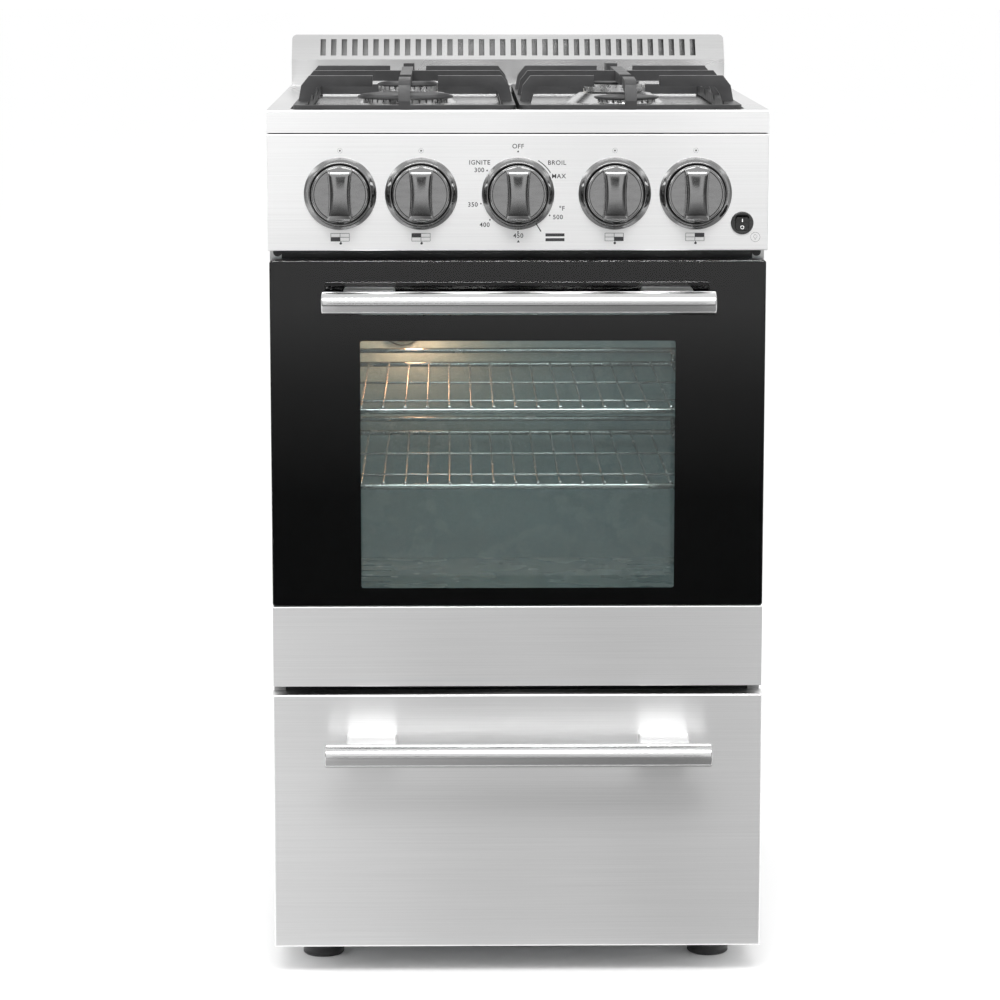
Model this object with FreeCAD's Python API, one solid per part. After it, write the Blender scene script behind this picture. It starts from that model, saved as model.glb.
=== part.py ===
import FreeCAD, Part
import math
import os

# A 20 inch freestanding gas range, in millimetres.
# It is drawn with X to the right, Y = 0 on the front face of the door and
# growing to the back, and Z = 0 on the floor.  export() then moves every piece
# so that the origin is the middle of the footprint.

# ---- heights, from the floor up ------------------------------------------
FOOT_H = 32.0            # floor to the bottom of the body
DRAWER_H = 270.0         # drawer front
DRAWER_GAP = 8.5         # between drawer front and door
DOOR_H = 441.5           # oven door
DOOR_GAP = 10.0          # between door and control panel
PANEL_H = 118.0          # control panel
PANEL_SEAM = 1.2         # joint between control panel and cooktop
LIP_H = 22.8             # turned-down edge of the cooktop
BACKGUARD_H = 57.0       # backguard above the cooktop

# ---- widths and depths ---------------------------------------------------
WIDTH = 508.0            # body, drawer front, panel and cooktop
HALF = WIDTH / 2
BODY_DEPTH = 640.0       # door face to the back of the body
GUARD_DEPTH = 40.0       # body back to the front of the backguard
COOKTOP_DEPTH = BODY_DEPTH - GUARD_DEPTH
HANDLE_REACH = 52.0      # face to the centre of a handle bar
HANDLE_R = 12.0          # handle bar radius
SHEET = 1.2              # body sheet metal
DOOR_INSET = 1.5         # door edge inside the body side
DOOR_T = 42.0            # door thickness
DOOR_CLEAR = 3.0         # door back to the front edge of the body
RUN_GAP = 0.4            # between pieces that slide past each other
FIT = 0.05               # radial clearance of a pin or a shaft in its bore

# ---- oven ----------------------------------------------------------------
CAVITY_HALF = HALF - 54.0         # inside half width of the oven
CAVITY_BACK = BODY_DEPTH - 100.0  # door face to the inside of its back wall
CAVITY_TOP_DROP = 36.0   # top of the door down to the oven's ceiling
FLOOR_UP = 39.5          # bottom of the door up to the oven floor
WALL_SKIRT = 7.5         # bottom of the door up to the liner's lower edge
INSULATION = 34.8        # glass wool round the liner
RACK_UPS = (76.0, 156.0, 236.0, 316.0)   # rack levels above the oven floor
RACK_WIRE = 3.0          # radius of a rack's rim wire
RACK_ROD = 2.0           # radius of a rack's thin rods
RACK_PITCH = 23.3        # between the rods
RACK_FRONT = 90.0
RACK_DEPTH = CAVITY_BACK - RACK_FRONT - 45.0
RACK_CLEAR = 7.0         # rack to the cavity wall
GUIDE_WIRE = 2.5
LAMP_IN, LAMP_DROP, LAMP_R = 76.0, 88.0, 26.0   # from the oven's wall and ceiling
OVEN_TUBE_R = 12.0       # oven burner
FLUE_HALF, FLUE_D = 100.0, 22.0

# ---- door ----------------------------------------------------------------
GLASS_T = 4.0
STRIP_H = 84.0           # steel strip under the outer glass
STRIP_SEAM = 0.5
WINDOW_HALF = HALF - 93.0
WINDOW_UP, WINDOW_DROP = 103.1, 82.3     # from the door's lower and upper edge
DOOR_PAN = 36.0          # depth of the door casing
HINGE_D = 16.0           # hinge axis behind the door face
HINGE_UP = 14.5          # hinge axis above the door's lower edge
HINGE_X = HALF - 39.0
HINGE_PIN_R = 4.0
TONGUE_W, TONGUE_H = 6.0, 10.0
HINGE_SLOT = 18.0
GASKET_W = 10.0

# ---- handles -------------------------------------------------------------
HANDLE_HALF = HALF - 56.0         # half length of each bar
POST_OUT = HANDLE_HALF - 21.0
POST_IN = POST_OUT - 52.0
POST_H, POST_TOP = 19.0, 11.0
DOOR_BAR_DROP = 38.0     # top of the door down to its bar
DRAWER_BAR_DROP = 53.0   # top of the drawer front down to its bar

# ---- drawer --------------------------------------------------------------
DRAWER_T = 24.0          # drawer front thickness
BOX_HALF = HALF - 62.0   # drawer box half width
BOX_BACK = BODY_DEPTH - 100.0
BOX_UP, BOX_H = 30.0, 138.0
RUNNER_W, RUNNER_H, RUNNER_UP = 14.0, 11.2, 114.4
RAIL_T = 2.0
PAN_HALF, PAN_DEPTH, PAN_H = BOX_HALF - 14.0, 340.0, 30.0

# ---- controls ------------------------------------------------------------
KNOB_OUTER = HALF - 74.0
KNOB_INNER = KNOB_OUTER - 82.0
KNOB_X = (-KNOB_OUTER, -KNOB_INNER, 0.0, KNOB_INNER, KNOB_OUTER)
KNOB_DROP = 60.0         # top of the panel down to the knobs
PANEL_T = 1.5
KNOB_R = 28.0
BEZEL_BORE_R = KNOB_R + 2.2
BEZEL_LIP_R = BEZEL_BORE_R + 2.2
BEZEL_R = BEZEL_LIP_R + 4.35
BEZEL_T, BEZEL_BASE = 7.0, 1.5
KNOB_BACK, KNOB_FACE, KNOB_FRONT = 5.0, 15.0, 30.0   # in front of the panel
KNOB_TRAVEL = 3.0
GRIP_W, GRIP_WAIST = 25.0, 20.0
STEM_R, STEM_FLAT = 3.0, 2.0
STEM_FRONT, STEM_BACK = 14.0, 44.0
VALVE_FRONT, VALVE_NOSE_R = 4.0, 9.0
VALVE_D0, VALVE_D1, VALVE_HALF = 30.0, 55.0, 14.0
MANIFOLD_R, MANIFOLD_D = 8.0, 68.0
SUPPLY_X = HALF - 26.0
INLET_R, INLET_OUT = 10.48, 19.0
GAS_TUBE_R = 3.0
SWITCH_X, SWITCH_DROP, SWITCH_R = HALF - 26.6, 90.0, 11.5
SWITCH_LIP = 0.8         # ring beyond the panel's hole
ROCKER_W, ROCKER_H, ROCKER_TILT = 13.0, 13.6, 8.0
ROCKER_PIVOT, ROCKER_PIN_R = 2.0, 0.9

# ---- cooktop -------------------------------------------------------------
TOP_SHEET = 1.5
RIM_SIDE, RIM_FRONT, RIM_BACK = 23.0, 17.0, 26.0
WELL = 10.0              # depth of the well
WELL_R = 16.0            # its corner radius
DOME_R0, DOME_R1 = 55.0, 40.0
GRATE_SIDE, GRATE_SPLIT = 26.0, 2.0      # body side, and middle, to a grate
GRATE_HALF = (HALF - GRATE_SIDE - GRATE_SPLIT) / 2
BURNER_X = GRATE_SPLIT + GRATE_HALF
FRONT_BURNER, REAR_BURNER = 115.0, COOKTOP_DEPTH - 215.0
CUP_R, CUP_BORE_R, CUP_H, CUP_FLANGE_R = 25.5, 20.0, 38.0, 36.0
CUP_STAND = 1.0          # cup rim above the dome
JET_ARM, JET_UP = 22.0, 8.0
# side, depth, crown radius, crown height, cap radius, cap height, slots
BURNERS = (
    (-1, FRONT_BURNER, 44.0, 6.0, 50.0, 5.0, 36),
    (-1, REAR_BURNER, 33.0, 7.0, 34.5, 5.0, 28),
    (1, FRONT_BURNER, 30.0, 5.0, 34.0, 4.0, 24),
    (1, REAR_BURNER, 34.0, 9.0, 28.0, 4.0, 24),
)

# ---- grates --------------------------------------------------------------
GRATE_TOP = 30.0         # grate top above the cooktop's rim
GRATE_R = 10.0           # corner radius of the low ring
GRATE_FRONT = 20.0
GRATE_DEPTH = COOKTOP_DEPTH - GRATE_FRONT - 85.0
BAR_W, BAR_H = 12.0, 11.0
LEG_LEAN = 5.0
MID_BAR = (FRONT_BURNER + REAR_BURNER) / 2
FRONT_GAP, REAR_GAP = 34.0, 20.0         # bar ends to a burner's centre line
SPINE_GAP = 25.0
FINGER = 65.0

# ---- backguard -----------------------------------------------------------
GUARD_FACE_H, GUARD_SLOPE_D, GUARD_R = 29.0, 24.0, 5.0
SLOT_COUNT, SLOT_PITCH, SLOT_W = 36, 12.42, 6.3
SLOT_Z0, SLOT_Z1 = 33.4, 52.0

# ---- legs ----------------------------------------------------------------
LEG_X, LEG_D, LEG_BACK_UP = HALF - 48.0, 93.0, 85.0
LEG_R, LEG_NECK_R, LEG_STEM_R = 21.8, 20.0, 5.0
LEG_STEM_TOP, LEG_NUT_H = FOOT_H + 46.0, 18.8
BASE_T, BASE_H, BASE_W = 1.5, 22.8, 76.0

# ---- levels worked out from the sizes above ------------------------------
Z_DRAWER = FOOT_H
Z_DRAWER_TOP = Z_DRAWER + DRAWER_H
Z_DOOR = Z_DRAWER_TOP + DRAWER_GAP
Z_DOOR_TOP = Z_DOOR + DOOR_H
Z_PANEL = Z_DOOR_TOP + DOOR_GAP
Z_PANEL_TOP = Z_PANEL + PANEL_H
Z_LIP = Z_PANEL_TOP + PANEL_SEAM
Z_TOP = Z_LIP + LIP_H
Z_CAVITY_TOP = Z_DOOR_TOP - CAVITY_TOP_DROP
Z_FLOOR = Z_DOOR + FLOOR_UP
RACK_LEVELS = tuple(Z_FLOOR + up for up in RACK_UPS)
LAMP_X, LAMP_Z = LAMP_IN - CAVITY_HALF, Z_CAVITY_TOP - LAMP_DROP
WINDOW_Z0, WINDOW_Z1 = Z_DOOR + WINDOW_UP, Z_DOOR_TOP - WINDOW_DROP
Z_HINGE = Z_DOOR + HINGE_UP
Z_MOUTH = Z_HINGE + 20.0
Z_KNOB = Z_PANEL_TOP - KNOB_DROP
Z_SWITCH = Z_PANEL_TOP - SWITCH_DROP
Z_WELL = Z_TOP - WELL
Z_CUP = Z_TOP + CUP_STAND
Z_GRATE = Z_TOP + GRATE_TOP
Z_RAIL = Z_WELL + 3.0
BODY_FRONT = DOOR_T + DOOR_CLEAR
INNER = HALF - SHEET
FRAME_D = BODY_FRONT + SHEET
FRAME_T = 1.5
LINER_D = FRAME_D + FRAME_T
REAR_D = BODY_DEPTH - 26.0
DOOR_HALF = HALF - DOOR_INSET
CASE_HALF = DOOR_HALF - 1.0


# ---- tools ---------------------------------------------------------------
def box(x0, x1, y0, y1, z0, z1):
    """A block between two corners."""
    return Part.makeBox(x1 - x0, y1 - y0, z1 - z0, FreeCAD.Vector(x0, y0, z0))


def rod(x, y, z, axis, radius, length):
    """A cylinder that starts at a point and runs along axis."""
    start = FreeCAD.Vector(x, y, z)
    return Part.makeCylinder(radius, length, start, FreeCAD.Vector(*axis))


def fused(shapes):
    """One solid out of pieces that overlap."""
    shapes = list(shapes)
    if len(shapes) == 1:
        return shapes[0]
    return shapes[0].multiFuse(shapes[1:]).removeSplitter()


def prism(points, plane, start, length):
    """An outline pushed along the third axis; plane is "xz", "yz" or "xy"."""
    corners = []
    for a, b in points:
        if plane == "xz":
            corners.append(FreeCAD.Vector(a, start, b))
        elif plane == "yz":
            corners.append(FreeCAD.Vector(start, a, b))
        else:
            corners.append(FreeCAD.Vector(a, b, start))
    corners.append(corners[0])
    push = {"xz": (0, length, 0), "yz": (length, 0, 0), "xy": (0, 0, length)}[plane]
    return Part.Face(Part.makePolygon(corners)).extrude(FreeCAD.Vector(*push))


def turned(points, x, y, z, axis):
    """A closed outline of (radius, along) points turned about an axis through x, y, z."""
    wire = [FreeCAD.Vector(radius, 0, along) for radius, along in points]
    wire.append(wire[0])
    face = Part.Face(Part.makePolygon(wire))
    solid = face.revolve(FreeCAD.Vector(0, 0, 0), FreeCAD.Vector(0, 0, 1), 360)
    turn = FreeCAD.Rotation(FreeCAD.Vector(0, 0, 1), FreeCAD.Vector(*axis))
    solid.Placement = FreeCAD.Placement(FreeCAD.Vector(x, y, z), turn)
    return solid


def round_edges(shape, radius, wanted):
    """Fillets the edges that wanted(edge) picks out."""
    edges = [edge for edge in shape.Edges if wanted(edge)]
    return shape.makeFillet(radius, edges)


def runs_along(edge, axis):
    """True for a straight edge that runs along "x", "y" or "z"."""
    if not isinstance(edge.Curve, Part.Line):
        return False
    bounds = edge.BoundBox
    spans = {"x": bounds.XLength, "y": bounds.YLength, "z": bounds.ZLength}
    return spans[axis] > 0.01 and sum(spans.values()) - spans[axis] < 0.01


def pipe(points, radius):
    """A pipe of straight runs with ball corners."""
    runs = []
    for (x0, y0, z0), (x1, y1, z1) in zip(points, points[1:]):
        along = FreeCAD.Vector(x1 - x0, y1 - y0, z1 - z0)
        runs.append(Part.makeCylinder(radius, along.Length, FreeCAD.Vector(x0, y0, z0), along))
        runs.append(Part.makeSphere(radius, FreeCAD.Vector(x1, y1, z1)))
    return fused(runs[:-1])


def hexagon(x, y, z, across, length):
    """A hexagonal prism along Y."""
    radius = across / math.sqrt(3)
    angles = [math.radians(60 * n) for n in range(6)]
    outline = [(x + radius * math.cos(a), z + radius * math.sin(a)) for a in angles]
    return prism(outline, "xz", y, length)


def mirrored(shape):
    """The same piece on the other side of the range."""
    return shape.mirror(FreeCAD.Vector(0, 0, 0), FreeCAD.Vector(1, 0, 0))


def export(name, shape):
    """Writes one piece, moved so that the origin is the middle of the footprint."""
    front = HANDLE_REACH + HANDLE_R
    piece = shape.copy()
    piece.translate(FreeCAD.Vector(0, -(BODY_DEPTH - front) / 2, 0))
    piece.exportStep(os.path.join("parts", name + ".step"))
    print(name, len(piece.Solids), "solids", round(piece.Volume / 1000, 1), "cm3")


# ---- body ----------------------------------------------------------------
PLUG_X = HALF - 8.0
PLUG_Z = Z_DOOR_TOP + DOOR_GAP / 2
PLUG_R, PLUG_STEM_R = 4.5, 2.5
FLANGE = 12.0
TOP_FLANGE = 14.0


def side_panel():
    """Right-hand side sheet with its front, top and bottom flanges."""
    skin = box(INNER, HALF, BODY_FRONT, BODY_DEPTH, FOOT_H, Z_LIP)
    front = box(HALF - FLANGE, HALF, BODY_FRONT, FRAME_D, FOOT_H, Z_LIP)
    top = box(INNER - TOP_FLANGE, HALF, FRAME_D - 0.5, BODY_DEPTH - 1, Z_LIP - SHEET, Z_LIP)
    low = box(INNER - TOP_FLANGE, HALF, FRAME_D - 0.5, REAR_D - 2, FOOT_H, FOOT_H + SHEET)
    hole = rod(PLUG_X, BODY_FRONT - 1, PLUG_Z, (0, 1, 0), PLUG_STEM_R, 4)
    return fused([skin, front, top, low]).cut(hole)


def frame_plugs():
    """Rubber plugs in the front flanges, in the gap above the door."""
    plugs = []
    for x in (-PLUG_X, PLUG_X):
        head = rod(x, DOOR_T + 0.3, PLUG_Z, (0, 1, 0), PLUG_R, DOOR_CLEAR - 0.3)
        stem = rod(x, BODY_FRONT - 0.5, PLUG_Z, (0, 1, 0), PLUG_STEM_R, SHEET + 0.5)
        plugs.append(fused([head, stem]))
    return Part.makeCompound(plugs)


def rear_panel():
    """Back sheet, a shallow tray with louvre slots and the gas inlet's hole."""
    low = FOOT_H + SHEET
    high = Z_LIP - SHEET
    tray = box(-INNER, INNER, REAR_D, REAR_D + 20, low, high)
    tray = tray.cut(box(-INNER + SHEET, INNER - SHEET, REAR_D + SHEET, REAR_D + 21,
                        low + SHEET, high - SHEET))
    cuts = [rod(SUPPLY_X, REAR_D - 1, Z_KNOB, (0, 1, 0), INLET_R + 1.5, 4)]
    for row in range(5):
        for column in range(-3, 4):
            middle = column * WIDTH / 8.5
            z = Z_DOOR_TOP - 60 - row * 14.0
            cuts.append(box(middle - 22, middle + 22, REAR_D - 1, REAR_D + 3, z, z + 5))
            z = Z_DRAWER_TOP - 40 - row * 14.0
            cuts.append(box(middle - 22, middle + 22, REAR_D - 1, REAR_D + 3, z, z + 5))
    return tray.cut(Part.makeCompound(cuts))


def base_frame():
    """Bottom ring of angle rails with the four leg nuts."""
    z0 = FOOT_H + SHEET
    z1 = z0 + BASE_T
    inside = INNER - BASE_W
    y0, y1 = LINER_D, REAR_D - 2
    pieces = [box(-INNER, INNER, y0, y0 + 64, z0, z1), box(-INNER, INNER, y1 - 90, y1, z0, z1)]
    pieces.append(box(-inside - 1, inside + 1, y0 + 3, y0 + 3 + BASE_T, z0, z0 + BASE_H))
    pieces.append(box(-inside - 1, inside + 1, y1 - BASE_T, y1, z0, z0 + BASE_H))
    for side in (-1, 1):
        for x0, x1 in ((inside, INNER), (inside, inside + BASE_T), (INNER - BASE_T, INNER)):
            height = BASE_T if x1 - x0 > BASE_T + 1 else BASE_H
            left, right = sorted((side * x0, side * x1))
            pieces.append(box(left, right, y0, y1, z0, z0 + height))
        for y in leg_depths():
            pieces.append(rod(side * LEG_X, y, z0, (0, 0, 1), 11.0, LEG_NUT_H))
    frame = fused(pieces)
    for side in (-1, 1):
        for y in leg_depths():
            frame = frame.cut(rod(side * LEG_X, y, 0, (0, 0, 1), LEG_STEM_R + FIT, 200))
    return frame


def leg_depths():
    """How far behind the door face the front and the rear legs stand."""
    return (LEG_D, BODY_DEPTH - LEG_BACK_UP)


def leg(side, y):
    """Levelling leg: a flared foot and the threaded stem above it."""
    neck = FOOT_H - RUN_GAP
    outline = [(0, 0), (LEG_R - 1.5, 0), (LEG_R, 1.5), (LEG_R, 5), (LEG_NECK_R, 9),
               (LEG_NECK_R, neck - 1), (LEG_NECK_R - 1, neck), (LEG_STEM_R, neck),
               (LEG_STEM_R, LEG_STEM_TOP - 1), (LEG_STEM_R - 1, LEG_STEM_TOP), (0, LEG_STEM_TOP)]
    return turned(outline, side * LEG_X, y, 0, (0, 0, 1))


def drawer_mouth():
    """Lowest and highest edge of the opening that the drawer passes."""
    return FOOT_H + SHEET + BASE_H + 2.0, Z_DRAWER_TOP - 6.0


def front_frame():
    """Sheet ring behind the door and the drawer front."""
    low, high = drawer_mouth()
    ring = box(-INNER, INNER, FRAME_D, LINER_D, low - 5, Z_PANEL - 2)
    ring = ring.cut(box(-BOX_HALF - 18, BOX_HALF + 18, FRAME_D - 1, LINER_D + 1, low, high))
    mouth = box(-CAVITY_HALF, CAVITY_HALF, FRAME_D - 1, LINER_D + 1, Z_MOUTH, Z_CAVITY_TOP)
    mouth = round_edges(mouth, 12, lambda edge: runs_along(edge, "y"))
    ring = ring.cut(mouth)
    tall = TONGUE_H / 2 + 1.5
    for x in (-HINGE_X, HINGE_X):
        ring = ring.cut(box(x - 5, x + 5, FRAME_D - 1, LINER_D + 1, Z_HINGE - tall, Z_HINGE + tall))
    return ring


def hinge_receivers():
    """Blocks behind the front frame whose tongues and pins carry the door."""
    sides = []
    for x in (-HINGE_X, HINGE_X):
        block = box(x - 7, x + 7, LINER_D, LINER_D + 32, Z_HINGE - 11, Z_HINGE + 11)
        half = TONGUE_W / 2
        tongue = box(x - half, x + half, HINGE_D, LINER_D + 1,
                     Z_HINGE - TONGUE_H / 2, Z_HINGE + TONGUE_H / 2)
        eye = rod(x - half, HINGE_D, Z_HINGE, (1, 0, 0), 7.0, TONGUE_W)
        pin = rod(x - 9, HINGE_D, Z_HINGE, (1, 0, 0), HINGE_PIN_R, 18)
        sides.append(fused([block, tongue, eye, pin]))
    return Part.makeCompound(sides)


def drawer_rails():
    """Channels on the body's sides that the drawer's runners slide in."""
    z0 = Z_DRAWER + RUNNER_UP - RUN_GAP - RAIL_T
    z1 = Z_DRAWER + RUNNER_UP + RUNNER_H + RUN_GAP + RAIL_T
    inside = BOX_HALF + 3.0
    web = BOX_HALF + RUNNER_W + 1.0
    y0, y1 = LINER_D + 2, BODY_DEPTH - 80
    low = box(inside, web + RAIL_T, y0, y1, z0, z0 + RAIL_T)
    high = box(inside, web + RAIL_T, y0, y1, z1 - RAIL_T, z1)
    back = box(web, web + RAIL_T, y0, y1, z0, z1)
    arms = [box(web, INNER, y, y + 24, z0, z1) for y in (y0 + 30, y1 - 60)]
    rail = fused([low, high, back] + arms)
    return Part.makeCompound([rail, mirrored(rail)])


# ---- oven ----------------------------------------------------------------
LINER_T = 1.2
INSUL_FRONT = 1.0
FLUE_Z0, FLUE_Z1 = Z_CAVITY_TOP - 56, Z_CAVITY_TOP - 16


def oven_liner():
    """Enamelled oven walls, open at the front and below the floor plate."""
    low = Z_DOOR + WALL_SKIRT
    half = CAVITY_HALF + LINER_T
    back = CAVITY_BACK + LINER_T
    shell = box(-half, half, LINER_D, back, low, Z_CAVITY_TOP + LINER_T)
    shell = shell.cut(box(-CAVITY_HALF, CAVITY_HALF, LINER_D - 1, CAVITY_BACK,
                          low - 1, Z_CAVITY_TOP))
    ledges = []
    for side in (-1, 1):
        x0, x1 = sorted((side * (CAVITY_HALF + 0.5), side * (CAVITY_HALF - 10)))
        ledges.append(box(x0, x1, LINER_D + 2, CAVITY_BACK + 0.5,
                          Z_FLOOR - 2 * SHEET, Z_FLOOR - SHEET))
    shell = fused([shell] + ledges)
    shell = shell.cut(flue_mouth(0))
    shell = shell.cut(rod(LAMP_X, CAVITY_BACK - 1, LAMP_Z, (0, 1, 0), LAMP_R - 8, 4))
    tube = rod(0, CAVITY_BACK - 1, oven_tube_z(), (0, 1, 0), OVEN_TUBE_R + 1, 4)
    slot = box(-OVEN_TUBE_R - 1, OVEN_TUBE_R + 1, CAVITY_BACK - 1, back + 1, low - 1, oven_tube_z())
    return shell.cut(tube).cut(slot)


def oven_tube_z():
    """Height of the oven burner under the floor plate."""
    return Z_FLOOR - 10 - OVEN_TUBE_R


def flue_mouth(grow):
    """The flue's passage through the oven's back wall."""
    return box(-FLUE_HALF - grow, FLUE_HALF + grow, CAVITY_BACK - 1,
               CAVITY_BACK + 200, FLUE_Z0 - grow, FLUE_Z1 + grow)


def oven_insulation():
    """Glass wool over the top, the sides and the back of the liner."""
    half = CAVITY_HALF + LINER_T
    low = Z_MOUTH
    outer = box(-half - INSULATION, half + INSULATION, LINER_D + INSUL_FRONT,
                CAVITY_BACK + LINER_T + INSULATION, low, Z_CAVITY_TOP + LINER_T + INSULATION - 1.6)
    inner = box(-half, half, LINER_D - 1, CAVITY_BACK + LINER_T, low - 1, Z_CAVITY_TOP + LINER_T)
    lamp = rod(LAMP_X, CAVITY_BACK, LAMP_Z, (0, 1, 0), LAMP_R - 8, 100)
    return outer.cut(inner).cut(flue_mouth(SHEET)).cut(lamp)


def flue_duct():
    """Sheet duct from the oven's back wall up to the backguard."""
    front = CAVITY_BACK + LINER_T
    back = REAR_D - 2
    top = Z_LIP - SHEET
    outer = fused([box(-FLUE_HALF - SHEET, FLUE_HALF + SHEET, front, back,
                       FLUE_Z0 - SHEET, FLUE_Z1 + SHEET),
                   box(-FLUE_HALF - SHEET, FLUE_HALF + SHEET, back - FLUE_D, back,
                       FLUE_Z0 - SHEET, top)])
    inner = fused([box(-FLUE_HALF, FLUE_HALF, front - 1, back - SHEET, FLUE_Z0, FLUE_Z1),
                   box(-FLUE_HALF, FLUE_HALF, back - FLUE_D + SHEET, back - SHEET,
                       FLUE_Z0, top + 1)])
    return outer.cut(inner)


def oven_floor():
    """Lift-out floor plate with rows of slots along both sides."""
    half = CAVITY_HALF - 0.6
    y0, y1 = LINER_D + 2, CAVITY_BACK - 1.5
    plate = box(-half, half, y0, y1, Z_FLOOR - SHEET, Z_FLOOR)
    edge = box(-half + 12, half - 12, y0, y0 + SHEET, Z_FLOOR - 9, Z_FLOOR)
    cuts = []
    count = 12
    for n in range(count):
        y = y0 + 40 + n * (y1 - y0 - 90) / (count - 1)
        for x in (-half + 22, half - 62):
            cuts.append(box(x, x + 40, y, y + 7, Z_FLOOR - 5, Z_FLOOR + 5))
    return fused([plate, edge]).cut(Part.makeCompound(cuts))


def oven_burner():
    """Straight tube burner under the floor plate, with ports on both sides."""
    z = oven_tube_z()
    y0, y1 = LINER_D + 45, CAVITY_BACK + 40
    tube = rod(0, y0, z, (0, 1, 0), OVEN_TUBE_R, y1 - y0)
    tube = tube.cut(rod(0, y0 + SHEET, z, (0, 1, 0), OVEN_TUBE_R - SHEET, y1 - y0))
    ports = []
    for n in range(18):
        y = y0 + 20 + n * 22.0
        ports.append(rod(-OVEN_TUBE_R - 2, y, z, (1, 0, 0), 1.6, 2 * OVEN_TUBE_R + 4))
    tube = tube.cut(Part.makeCompound(ports))
    cover = box(-46, 46, y0 + 4, CAVITY_BACK - 30, z + OVEN_TUBE_R - 0.6, z + OVEN_TUBE_R + 1)
    return fused([tube, cover])


def rack_guides():
    """Wire ladders on both oven walls; one rung carries each rack level."""
    x = CAVITY_HALF - GUIDE_WIRE
    y0, y1 = RACK_FRONT - 4, RACK_FRONT + RACK_DEPTH + 8
    drop = RACK_WIRE + GUIDE_WIRE + RUN_GAP
    low = RACK_LEVELS[0] - drop - 14
    high = RACK_LEVELS[-1] - drop + 22
    wires = [rod(x, y, low, (0, 0, 1), GUIDE_WIRE, high - low) for y in (y0 + 40, y1 - 40)]
    for level in RACK_LEVELS:
        reach = x - 2 * GUIDE_WIRE
        wires.append(pipe([(x, y0 + 40, level - drop), (reach, y0 + 34, level - drop),
                           (reach, y1 - 34, level - drop), (x, y1 - 40, level - drop)],
                          GUIDE_WIRE))
    ladder = fused(wires)
    return Part.makeCompound([ladder, mirrored(ladder)])


def oven_rack(level):
    """Wire rack: a rim, rods from front to back, two stiffeners and a back stop."""
    half = CAVITY_HALF - RACK_CLEAR - RACK_WIRE
    y0, y1 = RACK_FRONT, RACK_FRONT + RACK_DEPTH
    stop = level + 16
    wires = [pipe([(half, y0, level), (half, y1, level), (half, y1, stop), (-half, y1, stop),
                   (-half, y1, level), (-half, y0, level)], RACK_WIRE)]
    for y, z in ((y0, level), (y1, level)):
        wires.append(rod(-half, y, z, (1, 0, 0), RACK_WIRE, 2 * half))
    for y in (y0 + RACK_DEPTH / 3, y0 + RACK_DEPTH * 2 / 3):
        wires.append(rod(-half, y, level - RACK_ROD, (1, 0, 0), RACK_WIRE - 0.5, 2 * half))
    count = int((half - 6) // RACK_PITCH)
    for n in range(-count, count + 1):
        wires.append(rod(n * RACK_PITCH, y0, level + RACK_ROD - 0.5, (0, 1, 0), RACK_ROD,
                         RACK_DEPTH))
    return fused(wires)


def oven_lamp_bulb():
    """Lamp holder behind the back wall with its small bulb."""
    holder = rod(LAMP_X, CAVITY_BACK, LAMP_Z, (0, 1, 0), LAMP_R - 8, 32)
    bulb = turned([(0, 0), (7, 0), (7, 4), (9.5, 9), (9.5, 13), (6, 18.5), (0, 20)],
                  LAMP_X, CAVITY_BACK + 0.5, LAMP_Z, (0, -1, 0))
    return fused([holder, bulb])


def oven_lamp_cover():
    """Glass cover over the lamp, screwed against the oven's back wall."""
    outer = [(LAMP_R, 0), (LAMP_R, 6), (LAMP_R - 2, 14), (LAMP_R - 7, 21), (LAMP_R - 14, 25),
             (0, 26.5), (0, 24), (LAMP_R - 15, 22.5), (LAMP_R - 9, 19), (LAMP_R - 4.5, 13),
             (LAMP_R - 3, 6), (LAMP_R - 3, 0)]
    return turned(outer, LAMP_X, CAVITY_BACK, LAMP_Z, (0, -1, 0))


def door_gasket():
    """Woven seal round the oven's mouth."""
    depth0, depth1 = DOOR_T + RUN_GAP, FRAME_D
    half = CAVITY_HALF + 2 + GASKET_W
    seal = box(-half, half, depth0, depth1, Z_MOUTH - 1 - GASKET_W, Z_CAVITY_TOP + 1 + GASKET_W)
    seal = round_edges(seal, 12, lambda edge: runs_along(edge, "y"))
    hole = box(-half + GASKET_W, half - GASKET_W, depth0 - 1, depth1 + 1,
               Z_MOUTH - 1, Z_CAVITY_TOP + 1)
    hole = round_edges(hole, 8, lambda edge: runs_along(edge, "y"))
    return seal.cut(hole)


# ---- door ----------------------------------------------------------------
def hinge_slots(y0, high):
    """Room for the hinge tongues in the door's lower edge."""
    slots = []
    for x in (-HINGE_X, HINGE_X):
        slots.append(box(x - HINGE_SLOT / 2, x + HINGE_SLOT / 2, y0, DOOR_T + 5,
                         Z_DOOR - 5, high))
    return Part.makeCompound(slots)


def door_glass_outer():
    """Dark outer glass that covers all of the door but the strip."""
    glass = box(-DOOR_HALF, DOOR_HALF, 0, GLASS_T, Z_DOOR + STRIP_H + STRIP_SEAM, Z_DOOR_TOP)
    return round_edges(glass, 1.0, lambda edge: edge.BoundBox.YMax < 0.01)


def door_trim():
    """Folded steel strip along the door's lower edge."""
    low, high = Z_DOOR, Z_DOOR + STRIP_H
    face = box(-DOOR_HALF, DOOR_HALF, 0, SHEET, low, high)
    top = box(-DOOR_HALF, DOOR_HALF, 0, GLASS_T, high - SHEET, high)
    bottom = box(-DOOR_HALF, DOOR_HALF, 0, HINGE_D - 8, low, low + SHEET)
    strip = fused([face, top, bottom])
    front = lambda edge: edge.BoundBox.YMax < 0.01 and runs_along(edge, "x")
    return round_edges(strip, SHEET * 0.7, front)


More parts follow.
